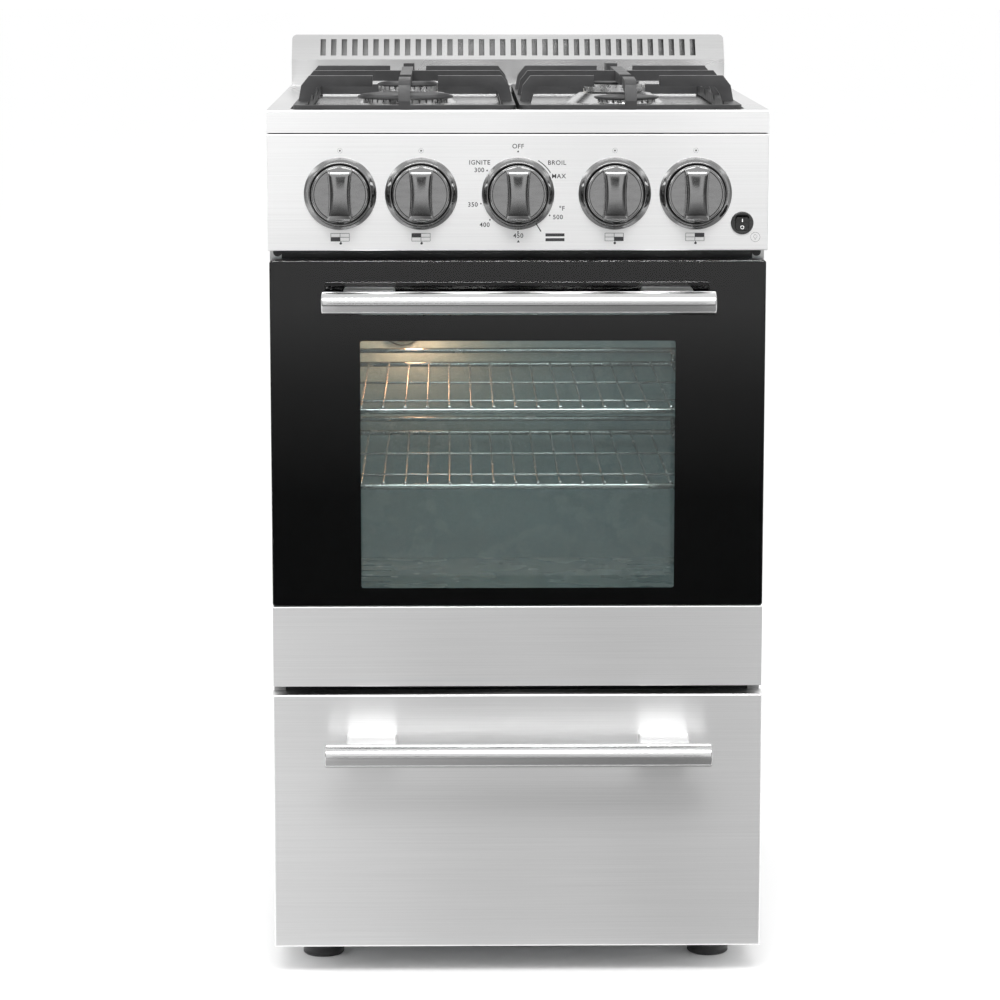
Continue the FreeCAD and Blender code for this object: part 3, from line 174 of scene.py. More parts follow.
def brushed(name, colour, grain, roughness=0.28):
    """Brushed sheet steel; grain is small along the brushing."""
    steel = Finish(name, colour, 1.0, roughness)
    steel.set("Anisotropic", 0.75).set("Anisotropic Rotation", 0.25 if grain == ALONG_X else 0.0)
    lines = steel.noise(1.0, grain, 4.0, 0.6)
    clouds = steel.noise(2.2, (1, 1, 1), 2.0)
    steel.tint(lines, shade(colour, 0.955), shade(colour, 1.03))
    steel.vary("Roughness", clouds, roughness - 0.03, roughness + 0.05)
    steel.bump(lines, 0.00001, 0.4)
    return steel.material


def polished_chrome(name, colour, roughness):
    """Chrome plate with faint wiping marks."""
    chrome = Finish(name, colour, 1.0, roughness)
    wipe = chrome.noise(60, (1, 1, 3), 4.0)
    chrome.vary("Roughness", wipe, roughness * 0.8, roughness * 1.4 + 0.01)
    chrome.bump(chrome.noise(25, detail=1.0), 0.00003, 0.25)
    return chrome.material


def enamel(name, colour, speck, roughness=0.16):
    """Glossy vitreous enamel with fine specks and a slight orange peel."""
    coat = Finish(name, colour, 0.0, roughness)
    coat.tint(coat.specks(420), colour, shade(colour, speck))
    coat.vary("Roughness", coat.noise(18), roughness * 0.8, roughness * 1.5)
    coat.bump(coat.noise(260, detail=2.0), 0.00012, 0.35)
    coat.set("Coat Weight", 0.4).set("Coat Roughness", 0.06)
    return coat.material


def cast_iron(name, colour, roughness):
    """Satin enamelled casting with the sand's fine grain."""
    iron = Finish(name, colour, 0.0, roughness)
    cloud = iron.noise(35, detail=5.0)
    iron.tint(cloud, shade(colour, 0.8), shade(colour, 1.25))
    iron.vary("Roughness", iron.noise(90), roughness - 0.07, roughness + 0.1)
    iron.bump(iron.noise(900, detail=2.0), 0.00018, 0.5)
    iron.bump(iron.noise(140, detail=2.0), 0.0004, 0.3)
    return iron.material


def cast_aluminium(name, colour, roughness):
    """Machined aluminium with turning marks and a few dull patches."""
    metal = Finish(name, colour, 1.0, roughness)
    metal.tint(metal.noise(160, detail=4.0), shade(colour, 0.8), shade(colour, 1.1))
    metal.vary("Roughness", metal.noise(70), roughness - 0.08, roughness + 0.12)
    metal.bump(metal.noise(1.0, (60, 60, 2600), 2.0), 0.00004, 0.5)
    return metal.material


def plastic(name, colour, roughness):
    """Moulded plastic, rubber or glazed clay with a fine pitted skin; also the bright white copy of
    the rack wire, which is a painted highlight.
    """
    skin = Finish(name, colour, 0.0, roughness)
    skin.tint(skin.noise(60), shade(colour, 0.85), shade(colour, 1.25))
    skin.vary("Roughness", skin.noise(110), roughness - 0.05, roughness + 0.08)
    skin.bump(skin.noise(1500, detail=1.0), 0.00008, 0.5)
    return skin.material


def dull_metal(name, colour, roughness=0.42):
    """Zinc-coated sheet with its spangle."""
    zinc = Finish(name, colour, 1.0, roughness)
    split = zinc.nodes.new("ShaderNodeSeparateColor")
    zinc.links.new(zinc.cells(150)["Color"], split.inputs["Color"])
    zinc.tint(split.outputs["Red"], shade(colour, 0.92), shade(colour, 1.05))
    zinc.vary("Roughness", split.outputs["Green"], roughness - 0.06, roughness + 0.1)
    return zinc.material


def woven(name, colour, pitch=900):
    """Woven or felted fibre."""
    fibre = Finish(name, colour, 0.0, 0.9)
    strands = fibre.noise(pitch, (1, 1, 1), 5.0, 0.7)
    fibre.tint(strands, shade(colour, 0.55), shade(colour, 1.4))
    fibre.bump(strands, 0.0008, 0.8)
    fibre.set("Sheen Weight", 0.3)
    return fibre.material


def clear_glass(name, colour, roughness=0.0):
    """Clear or tinted glass, its tone a little uneven."""
    glass = Finish(name, colour, 0.0, roughness)
    glass.tint(glass.noise(3, detail=1.0), shade(colour, 0.98), shade(colour, 1.02))
    glass.set("Transmission Weight", 1.0).set("IOR", 1.46)
    return glass.material


def printed(name, colour):
    """Screen-printed ink, thin and slightly uneven."""
    ink = Finish(name, colour, 0.0, 0.45)
    ink.tint(ink.noise(700, detail=2.0), shade(colour, 0.8), shade(colour, 1.3))
    ink.vary("Roughness", ink.noise(300), 0.35, 0.6)
    return ink.material


def paint(node, material):
    """Gives a CAD node that material."""
    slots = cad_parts[node].material_slots
    if not slots:
        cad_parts[node].data.materials.append(material)
    for material_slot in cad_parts[node].material_slots:
        material_slot.material = material


# ------------------------------------------------------------ mesh helpers
def add_object(name, data):
    """A new object in the scene."""
    made = bpy.data.objects.new(name, data)
    bpy.context.scene.collection.objects.link(made)
    return made


def move_into(target, bm):
    """Adds one bmesh's geometry to another, and frees it."""
    part = bpy.data.meshes.new("part")
    bm.to_mesh(part)
    bm.free()
    target.from_mesh(part)
    bpy.data.meshes.remove(part)


def flat_planes(mesh):
    """Shades every large plane flat, so that its rounded rim can't bend its gloss."""
    bm = bmesh.new()
    bm.from_mesh(mesh)
    bm.faces.ensure_lookup_table()
    seen = set()
    for first in bm.faces:
        if first.index in seen:
            continue
        plane, front = [first], [first]
        seen.add(first.index)
        while front:
            for edge in front.pop().edges:
                for face in edge.link_faces:
                    if face.index not in seen and edge.calc_face_angle(1.0) < 0.0008:
                        seen.add(face.index)
                        plane.append(face)
                        front.append(face)
        if sum(face.calc_area() for face in plane) > LEAST_PLANE:
            for face in plane:
                face.smooth = False
    bm.to_mesh(mesh)
    bm.free()


def new_piece(name, mesh, material, body, replaced=None, sharp=32.0):
    """An object made from a mesh, smooth except at its sharp edges and planes, on a body.

    It can stand in for a CAD node.
    """
    piece = add_object(name, mesh)
    if material is not None:
        mesh.materials.clear()
        mesh.materials.append(material)
    mesh.shade_smooth()
    mesh.set_sharp_from_angle(angle=math.radians(sharp))
    flat_planes(mesh)
    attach(piece, body)
    if replaced:
        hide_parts(replaced)
    return piece


def mesh_from(bm, name):
    """A mesh datablock from bmesh data, normals outwards."""
    bmesh.ops.recalc_face_normals(bm, faces=bm.faces)
    mesh = bpy.data.meshes.new(name)
    bm.to_mesh(mesh)
    bm.free()
    if "custom_normal" in mesh.attributes:
        mesh.attributes.remove(mesh.attributes["custom_normal"])
    return mesh


def soft_copy(node, name, width, segments=2, angle=28.0):
    """The node's mesh with its triangles merged and its hard edges rounded."""
    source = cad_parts[node].data
    bm = bmesh.new()
    bm.from_mesh(source)
    bmesh.ops.remove_doubles(bm, verts=bm.verts, dist=1e-6)
    bmesh.ops.dissolve_limit(bm, angle_limit=math.radians(0.6), verts=bm.verts, edges=bm.edges)
    hard = [edge for edge in bm.edges
            if len(edge.link_faces) == 2 and edge.calc_face_angle(0.0) > math.radians(angle)]
    bmesh.ops.bevel(bm, geom=hard, offset=width, segments=segments, profile=0.6,
                    affect="EDGES", clamp_overlap=True)
    bmesh.ops.remove_doubles(bm, verts=bm.verts, dist=1e-6)
    bmesh.ops.triangulate(bm, faces=bm.faces)
    return mesh_from(bm, name)


def welded(node, name):
    """The node's mesh with its split corners joined, so that it shades evenly."""
    bm = bmesh.new()
    bm.from_mesh(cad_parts[node].data)
    bmesh.ops.remove_doubles(bm, verts=bm.verts, dist=1e-6)
    return mesh_from(bm, name)


def lathed(profile, segments=96):
    """Closed bmesh from (radius, height) points turned about Z; end radii of 0 close it."""
    bm = bmesh.new()
    rings = []
    for radius, height in profile:
        if radius <= 1e-9:
            rings.append([bm.verts.new((0, 0, height))])
            continue
        turn = 2 * math.pi / segments
        rings.append([bm.verts.new((radius * math.cos(n * turn), radius * math.sin(n * turn),
                                    height)) for n in range(segments)])
    pairs = list(zip(rings, rings[1:]))
    if len(rings[0]) > 1 and len(rings[-1]) > 1:
        pairs.append((rings[-1], rings[0]))
    for low, high in pairs:
        for n in range(segments):
            m = (n + 1) % segments
            corners = [low[n % len(low)], low[m % len(low)],
                       high[m % len(high)], high[n % len(high)]]
            face = list(dict.fromkeys(corners))
            if len(face) > 2:
                bm.faces.new(face)
    return bm


def arc(centre, radius, start, end, steps=5):
    """Points on a circle, for rounding a profile; angles in degrees."""
    points = []
    for n in range(steps + 1):
        a = math.radians(start + (end - start) * n / steps)
        points.append((centre[0] + radius * math.cos(a), centre[1] + radius * math.sin(a)))
    return points


def place(bm, origin, axis=(0, 0, 1)):
    """Turns +Z of the bmesh on to axis and moves it to origin."""
    turn = Vector(axis).to_track_quat("Z", "Y").to_matrix().to_4x4()
    bmesh.ops.transform(bm, matrix=Matrix.Translation(origin) @ turn, verts=bm.verts)
    return bm


def rounded_outline(half_w, half_h, radius, steps=6):
    """Points round a rounded rectangle in two axes."""
    points = []
    for cx, cy, start in ((half_w - radius, half_h - radius, 0),
                          (radius - half_w, half_h - radius, 90),
                          (radius - half_w, radius - half_h, 180),
                          (half_w - radius, radius - half_h, 270)):
        points += arc((cx, cy), radius, start, start + 90, steps)
    return points


def add_plate(bm, outline, centre, thickness=INK):
    """A flat closed plate with that outline; its front is at centre, its back thickness behind."""
    front, back = [], []
    for a, b in outline:
        point = Vector((centre[0] + a, centre[1], centre[2] + b))
        front.append(bm.verts.new(point))
        back.append(bm.verts.new(point + Vector((0, thickness, 0))))
    bm.faces.new(front)
    bm.faces.new(list(reversed(back)))
    for n in range(len(front)):
        m = (n + 1) % len(front)
        bm.faces.new((front[n], back[n], back[m], front[m]))
    return bm


def knob_centre(number):
    """Centre of a knob's back face."""
    low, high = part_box("knob_%d" % number)
    return Vector(((low.x + high.x) / 2, high.y, (low.z + high.z) / 2))


# ------------------------------------------------------------- properties
class RangeSteelSettings(bpy.types.PropertyGroup):
    """Colours and polish of the sheet metal."""

    # Panel, drawer front and sides are one stainless steel in three brightnesses. This is painted
    # light and shade: the panel lightest, the drawer front less, the sides darkest.
    panel: FloatVectorProperty(name="Panel steel", description="Colour of the panel and the cooktop",
                               default=(0.97, 0.97, 0.97), subtype="COLOR", min=0, max=1)
    front: FloatVectorProperty(name="Drawer steel", description="Colour of the drawer front and strip",
                               default=(0.86, 0.86, 0.86), subtype="COLOR", min=0, max=1)
    side: FloatVectorProperty(name="Side steel", description="Colour of the body sides",
                              default=(0.60, 0.60, 0.60), subtype="COLOR", min=0, max=1)
    roughness: FloatProperty(name="Roughness", description="How dull the brushing is",
                             default=0.3, min=0, max=1, subtype="FACTOR")
    window_half: FloatProperty(name="Window half width", description="Half width of the clear glass",
                               default=0.161, min=0.05, max=0.17, unit="LENGTH")
    window_low: FloatProperty(name="Window bottom", description="Height of the window's lower edge",
                              default=0.4136, unit="LENGTH")
    window_high: FloatProperty(name="Window top", description="Height of the window's upper edge",
                               default=0.6697, unit="LENGTH")


class RangeIronSettings(bpy.types.PropertyGroup):
    """Grates, burners and oven enamel."""

    grate: FloatVectorProperty(name="Grate", description="Colour of the cast grates",
                               default=(0.021, 0.021, 0.022), subtype="COLOR", min=0, max=1)
    grate_edge: FloatProperty(name="Grate edge", description="Rounding of the grates' edges",
                              default=0.0026, min=0, max=0.004, unit="LENGTH")
    cap: FloatVectorProperty(name="Burner cap", description="Colour of the burner caps",
                             default=(0.016, 0.016, 0.017), subtype="COLOR", min=0, max=1)
    oven: FloatVectorProperty(name="Oven enamel", description="Colour of the oven's walls",
                              default=(0.20, 0.285, 0.298), subtype="COLOR", min=0, max=1)


class RangeKnobSettings(bpy.types.PropertyGroup):
    """Size and finish of the knobs and of the marks round them."""

    radius: FloatProperty(name="Knob radius", description="Outer radius of a knob",
                          default=0.029, min=0.02, max=0.031, unit="LENGTH")
    grip_width: FloatProperty(name="Grip width", description="Width of the grip bar at its ends",
                              default=0.0268, min=0.01, max=0.04, unit="LENGTH")
    grip_waist: FloatProperty(name="Grip waist", description="Width of the grip bar in the middle",
                              default=0.0212, min=0.01, max=0.04, unit="LENGTH")
    # The plating's dark grey is painted shade, standing for the dark surroundings the knobs reflect.
    colour: FloatVectorProperty(name="Knob colour", description="Colour of the knob's plating",
                                default=(0.27, 0.27, 0.27), subtype="COLOR", min=0, max=1)
    letter: FloatProperty(name="Letter size", description="Text size of the dial marks",
                          default=0.0063, min=0.002, max=0.01, unit="LENGTH")


class RangeStageSettings(bpy.types.PropertyGroup):
    """Camera, floor and lights."""

    camera_side: FloatProperty(name="Camera X", description="Camera to the right of the middle",
                               default=-0.0703, unit="LENGTH")
    camera_ahead: FloatProperty(name="Camera ahead", description="Camera in front of the door face",
                                default=3.6, unit="LENGTH")
    camera_height: FloatProperty(name="Camera height", description="Camera above the floor",
                                 default=1.086, unit="LENGTH")
    lens: FloatProperty(name="Lens", description="Focal length in millimetres on a 36 mm frame",
                        default=127.9, min=20, max=300)
    turn: FloatProperty(name="Turn", description="Camera turned to the right",
                        default=math.radians(0.828), subtype="ANGLE")
    tilt: FloatProperty(name="Tilt", description="Camera tilted down",
                        default=math.radians(9.156), subtype="ANGLE")
    floor: FloatVectorProperty(name="Floor", description="Colour of the floor",
                               default=(0.92, 0.92, 0.92), subtype="COLOR", min=0, max=1)
    world: FloatProperty(name="World light", description="Strength of the light all round",
                         default=1.08, min=0, max=10)


# -------------------------------------------------------------- operators
class RANGE_OT_sheet_metal(bpy.types.Operator):
    """Brushed steel on the body, the panel, the cooktop and the backguard"""

    bl_idname = "gas_range.sheet_metal"
    bl_label = "Sheet metal"

    def execute(self, context):
        steel = context.scene.range_steel
        panel = brushed("steel_panel", steel.panel, ALONG_X, steel.roughness)
        side = brushed("steel_side", steel.side, ALONG_Z, steel.roughness)
        paint("control_panel", panel)
        # The cooktop and the backguard get a darker copy of the panel steel: painted shade.
        top = brushed("steel_cooktop", shade(steel.panel, 0.62), ALONG_X, 0.26)
        # Dark steel for the faces that look back or down: painted shade.
        inside = dull_metal("steel_painted_shade", (0.16, 0.16, 0.165), 0.5)
        for node in ("cooktop", "backguard"):
            mesh = welded(node, "pressed_" + node)
            new_piece("pressed_" + node, mesh, top, "cabinet", node, 30)
            mesh.materials.append(inside)
            mesh.materials.append(panel)
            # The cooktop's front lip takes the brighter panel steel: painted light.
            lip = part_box("cooktop")[0].y + LIP
            for face in mesh.polygons:
                # Faces that look back or down take the dark steel, which is painted shade.
                hidden = face.normal.y > 0.3 or face.normal.z < -0.3
                face.material_index = 1 if hidden else 2 if face.center.y < lip else 0
        for node in ("side_panel_left", "side_panel_right"):
            paint(node, side)
        zinc = dull_metal("zinc_sheet", (0.60, 0.61, 0.62))
        for node in ("rear_panel", "base_frame", "hinge_receivers", "drawer_rails", "flue_duct"):
            paint(node, zinc)
        paint("frame_plugs", plastic("plug_rubber", (0.02, 0.02, 0.02), 0.55))
        paint("front_frame", enamel("frame_enamel", (0.005, 0.005, 0.0052), 1.5, 0.4))
        return {"FINISHED"}


class RANGE_OT_grates(bpy.types.Operator):
    """Cast grates with rounded bars, the right one a mirror of the left"""

    bl_idname = "gas_range.grates"
    bl_label = "Grates"

    def execute(self, context):
        iron = context.scene.range_iron
        material = cast_iron("grate_iron", iron.grate, 0.42)
        for side in ("left", "right"):
            node = "grate_" + side
            mesh = soft_copy("grate_left", "cast_" + node, iron.grate_edge, 3)
            if side == "right":
                mesh.transform(Matrix.Scale(-1, 4, (1, 0, 0)))
                mesh.flip_normals()
            new_piece("cast_" + node, mesh, material, node, node, 38)
        return {"FINISHED"}


class RANGE_OT_burners(bpy.types.Operator):
    """Burner cups, crowns, caps and spark plugs"""

    bl_idname = "gas_range.burners"
    bl_label = "Burners"

    def execute(self, context):
        iron = context.scene.range_iron
        crown = cast_aluminium("burner_crown_metal", (0.80, 0.80, 0.80), 0.25)
        mesh = soft_copy("burner_heads", "burner_crowns", 0.0003, 1, 50)
        new_piece("burner_crowns", mesh, crown, "cabinet", "burner_heads", 30)
        paint("burner_cups", cast_aluminium("burner_cup_metal", (0.5, 0.5, 0.51), 0.45))
        paint("burner_caps", cast_iron("burner_cap_enamel", iron.cap, 0.5))
        paint("burner_igniters", plastic("spark_plug_ceramic", (0.8, 0.78, 0.72), 0.25))
        return {"FINISHED"}


class RANGE_OT_knobs(bpy.types.Operator):
    """Five knobs with waisted grips, and the chromed rings behind them"""

    bl_idname = "gas_range.knobs"
    bl_label = "Knobs"

    def execute(self, context):
        knobs = context.scene.range_knobs
        # Knob plating darkened below real chrome: painted shade.
        plate = polished_chrome("knob_satin_chrome", knobs.colour, 0.11)
        for number in range(1, KNOB_COUNT + 1):
            name = "knob_%d" % number
            new_piece("turned_" + name, self.knob_mesh(knobs, number), plate, name,
                      name, 30)
            stem = "valve_stem_%d" % number
            paint(stem, cast_aluminium("stem_metal_%d" % number, (0.7, 0.6, 0.4), 0.3))
        self.bezels()
        return {"FINISHED"}

    def knob_mesh(self, knobs, number):
        """A round skirt with sunk flats, and a domed grip bar set into it."""
        centre = knob_centre(number)
        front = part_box("knob_%d" % number)[0].y
        radius = knobs.radius
        base = lathed([(0, 0), (radius - 0.0012, 0)]
                      + arc((radius - 0.0012, 0.0012), 0.0012, -90, 0, 3)
                      + arc((radius - 0.0015, SKIRT - 0.0015), 0.0015, 0, 90, 4)
                      + [(radius - 0.0026, SKIRT - 0.0001), (radius - 0.0032, SKIRT - 0.0012),
                         (0.004, SKIRT - 0.0014), (0, SKIRT - 0.0014)], 112)
        place(base, centre, (0, -1, 0))
        self.add_grip(base, knobs, centre, SKIRT * 0.6, centre.y - front)
        return mesh_from(base, "turned_knob_%d" % number)

    def add_grip(self, bm, knobs, centre, low, high):
        """The grip bar: cross-sections along Z with rounded shoulders and a domed front."""
        rows = 44
        sections = []
        reach = knobs.radius - 0.0006
        shoulder = 0.0034
        for n in range(rows + 1):
            t = -1 + 2 * n / rows
            t = math.copysign(1 - (1 - abs(t)) ** 1.6, t)
            z = reach * t
            rim = math.sqrt(max(reach * reach - z * z, 0.0))
            waist = knobs.grip_waist / 2
            half = waist + (knobs.grip_width / 2 - waist) * t * t
            half = min(half, rim + 0.0004)
            end = max(0.0, abs(t) - 0.7) / 0.3
            top = high - 0.0018 * t * t - 0.0048 * end * end
            bend = min(shoulder, half * 0.9)
            row = [(-half, low), (-half, top - bend)]
            row += arc((-half + bend, top - bend), bend, 180, 90, 4)[1:]
            crown = 0.0007
            row += [(half * s, top + crown * (1 - s * s)) for s in (-0.45, 0.0, 0.45)]
            row += arc((half - bend, top - bend), bend, 90, 0, 4)
            row += [(half, low)]
            sections.append([bm.verts.new(centre + Vector((x, -y, z))) for x, y in row])
        for first, second in zip(sections, sections[1:]):
            for a in range(len(first)):
                b = (a + 1) % len(first)
                bm.faces.new((first[a], first[b], second[b], second[a]))
        bm.faces.new(sections[0])
        bm.faces.new(list(reversed(sections[-1])))

    def bezels(self):
        """Chromed cone rings, lathed with a rolled lip."""
        low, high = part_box("knob_bezels")
        outer = (high.z - low.z) / 2
        height = high.y - low.y
        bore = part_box("knob_1")[1].x - knob_centre(1).x + RING_GAP
        # Bezel chrome darkened below real chrome: painted shade of the dark surroundings it reflects.
        chrome = polished_chrome("bezel_chrome", (0.25, 0.25, 0.25), 0.07)
        black = plastic("bezel_well", (0.008, 0.008, 0.008), 0.6)
        lip = (bore + 0.0011, height - 0.0011)
        profile = [(0.005, 0), (outer - 0.0004, 0)]
        profile += arc((outer - 0.0009, 0.0009), 0.0009, -60, 30, 3)
        profile += [(outer - 0.0022, 0.0036)]
        profile += arc(lip, 0.0011, 40, 180, 7)
        profile += [(bore, 0.0016), (0.005, 0.0016)]
        for number in range(1, KNOB_COUNT + 1):
            centre = knob_centre(number)
            ring = place(lathed(profile, 128), Vector((centre.x, high.y, centre.z)), (0, -1, 0))
            name = "knob_ring_%d" % number
            mesh = mesh_from(ring, name)
            new_piece(name, mesh, chrome, "cabinet", "knob_bezels", 40)
            mesh.materials.append(black)
            for face in mesh.polygons:
                reach = math.hypot(face.center.x - centre.x, face.center.z - centre.z)
                face.material_index = int(reach < bore + 0.0001)


class RANGE_OT_panel_marks(bpy.types.Operator):
    """Printed dial numbers and burner marks"""

    bl_idname = "gas_range.panel_marks"
    bl_label = "Panel marks"

    WORDS = (("OFF", 0.0, 47.5), ("IGNITE", -38.9, 31.2), ("300", -39.3, 23.6),
             ("350", -45.8, -11.3), ("400", -33.8, -31.8), ("450", 0.3, -42.9),
             ("500", 40.4, -24.1), ("°F", 44.4, -15.4), ("MAX", 41.2, 17.3),
             ("BROIL", 39.3, 30.9))
    DOTS = (143.5, 195.2, 223.0, 270.0, 325.3)

    def execute(self, context):
        size = context.scene.range_knobs.letter
        ink = printed("panel_ink", (0.022, 0.022, 0.024))
        self.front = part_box("control_panel")[0].y - INK_LIFT
        centre = knob_centre(OVEN_DIAL)
        pieces = [self.word(text, self.beside(centre, across, up), size)
                  for text, across, up in self.WORDS]
        bm = bmesh.new()
        for angle in self.DOTS:
            self.dot(bm, self.around(centre, angle, 0.0390), 0.0008)
        self.dot(bm, self.beside(centre, 0.0, 42.4), 0.0009)
        self.dial_signs(bm, centre)
        for number in range(1, KNOB_COUNT + 1):
            if number != OVEN_DIAL:
                self.burner_sign(bm, knob_centre(number), number)
        self.lamp_sign(bm)
        for mesh in pieces:
            bm.from_mesh(mesh)
        new_piece("panel_marks", mesh_from(bm, "panel_marks"), ink, "cabinet")
        return {"FINISHED"}

    def around(self, centre, angle, radius):
        """A point on the panel, at an angle and a radius from a knob's centre."""
        a = math.radians(angle)
        return Vector((centre.x + radius * math.cos(a), self.front, centre.z + radius * math.sin(a)))

    def beside(self, centre, across, up):
        """A point on the panel, millimetres to the right of a knob's centre and above it."""
        return Vector((centre.x + across / 1000, self.front, centre.z + up / 1000))

    def word(self, text, at, size):
        """Thin letters, centred on their place."""
        curve = bpy.data.curves.new("word", "FONT")
        curve.body = text
        curve.size = size
        curve.align_x, curve.align_y = "CENTER", "CENTER"
        curve.extrude = 0.00002
        curve.offset = size * 0.012
        curve.space_character = 1.12
        letters = add_object("word", curve)
        letters.location = at
        letters.rotation_euler = (math.pi / 2, 0, 0)
        bpy.context.view_layer.update()
        graph = bpy.context.evaluated_depsgraph_get()
        mesh = bpy.data.meshes.new_from_object(letters.evaluated_get(graph))
        mesh.transform(letters.matrix_world)
        bpy.data.objects.remove(letters)
        return mesh

    def dot(self, bm, at, radius):
        add_plate(bm, arc((0, 0), radius, 0, 345, 23), at)

    def bar(self, bm, at, width, height, turn=0.0):
        """A printed bar, centred, turned about its middle."""
        a = math.radians(turn)
        corners = []
        for x, z in ((-1, -1), (1, -1), (1, 1), (-1, 1)):
            x, z = x * width / 2, z * height / 2
            corners.append((x * math.cos(a) - z * math.sin(a), x * math.sin(a) + z * math.cos(a)))
        add_plate(bm, corners, at)

    def ring(self, bm, at, radius, count, length, line):
        """A ring of short strokes."""
        for n in range(count):
            angle = n * 360 / count
            self.bar(bm, self.around(at, angle, radius), length, line, angle - 90)

    def dial_signs(self, bm, centre):
        """Broil arc, the tick by 450, the oven sign's two bars and a small triangle."""
        for n in range(13):
            angle = 57.5 - n * 2
            self.bar(bm, self.around(centre, angle, 0.0389), 0.0015, 0.0009, angle - 90)
        self.bar(bm, self.beside(centre, 20.9, -34.7), 0.0092, 0.0011, -57.5)
        for up in (-42.0, -46.9):
            self.bar(bm, self.beside(centre, 37.5, up), 0.0193, 0.0031)
        add_plate(bm, [(-0.0015, -0.0011), (0.0015, -0.0011), (0.0, 0.0013)],
                  self.beside(centre, 0.3, -48.5))

    def burner_sign(self, bm, centre, number):
        """A dot above the knob; below it a plan of the four burners and a small flame."""
        top = self.beside(centre, 0.0, 43.3)
        self.dot(bm, top, 0.0009)
        self.ring(bm, top, 0.0024, 20, 0.0006, 0.0002)
        width, height, line = 0.0187, 0.0079, 0.0004
        middle = self.beside(centre, -0.4, -44.2)
        for z in (-height / 2, 0.0, height / 2):
            self.bar(bm, middle + Vector((0, 0, z)), width, line)
        for x in (-width / 2, 0.0, width / 2):
            self.bar(bm, middle + Vector((x, 0, 0)), line, height)
        side = -1 if number < OVEN_DIAL else 1
        rear = 1 if number in (2, 5) else -1
        self.bar(bm, middle + Vector((side * width / 4, -0.00002, rear * height / 4)),
                 width / 2, height / 2)
        flame = [(0.0, -0.0016), (0.0011, -0.0011), (0.0014, 0.0), (0.0007, 0.0009),
                 (0.0003, 0.0021), (-0.0004, 0.0008), (-0.0013, 0.0002), (-0.0011, -0.001)]
        add_plate(bm, flame, middle + Vector((0.0006, 0, -0.0059)))

    def lamp_sign(self, bm):
        """A small lamp in a ring beside the light switch."""
        low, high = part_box("switch_housing")
        middle = Vector(((low.x + high.x) / 2 + 0.0136, self.front, (low.z + high.z) / 2 - 0.0144))
        self.ring(bm, middle, 0.0047, 30, 0.001, 0.00025)
        self.ring(bm, middle + Vector((0, 0, 0.0005)), 0.0018, 18, 0.0007, 0.00025)
        self.bar(bm, middle + Vector((0, 0, -0.0023)), 0.0016, 0.0003)


class RANGE_OT_light_switch(bpy.types.Operator):
    """Rocker switch of the oven light with its two signs"""

    bl_idname = "gas_range.light_switch"
    bl_label = "Light switch"

    def execute(self, context):
        black = plastic("switch_plastic", (0.018, 0.018, 0.018), 0.28)
        for node, body, width in (("switch_housing", "cabinet", 0.0004),
                                  ("switch_rocker", "light_rocker", 0.0006)):
            new_piece("moulded_" + node, soft_copy(node, "moulded_" + node, width, 2),
                      black, body, node, 35)
        self.signs(printed("switch_white", (0.75, 0.75, 0.75)))
        return {"FINISHED"}

    def signs(self, white):
        """A stroke and a ring on the two halves of the rocker."""
        low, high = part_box("switch_rocker")
        x = (low.x + high.x) / 2
        middle = (low.z + high.z) / 2
        bm = bmesh.new()
        stroke = [(-0.0004, -0.0016), (0.0004, -0.0016), (0.0004, 0.0016), (-0.0004, 0.0016)]
        add_plate(bm, stroke, Vector((x, 0, 0.0036)), 0.0001)
        for n in range(20):
            a = math.radians(n * 18)
            b = math.radians(n * 18 + 18)
            quad = [(r * math.cos(t), r * math.sin(t))
                    for r, t in ((0.0013, a), (0.0019, a), (0.0019, b), (0.0013, b))]
            add_plate(bm, quad, Vector((x, 0, -0.0036)), 0.0001)
        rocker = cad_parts["switch_rocker"]
        skin = BVHTree.FromPolygons([rocker.matrix_world @ v.co for v in rocker.data.vertices],
                                    [face.vertices for face in rocker.data.polygons])
        for vertex in bm.verts:
            start = Vector((vertex.co.x, low.y - 0.01, vertex.co.z + middle))
            point = skin.ray_cast(start, Vector((0, 1, 0)))[0]
            lift = 0.0001 if vertex.co.y < 0.00005 else 0.0
            vertex.co = Vector((start.x, point.y - lift, start.z))
        new_piece("switch_signs", mesh_from(bm, "switch_signs"), white, "light_rocker")


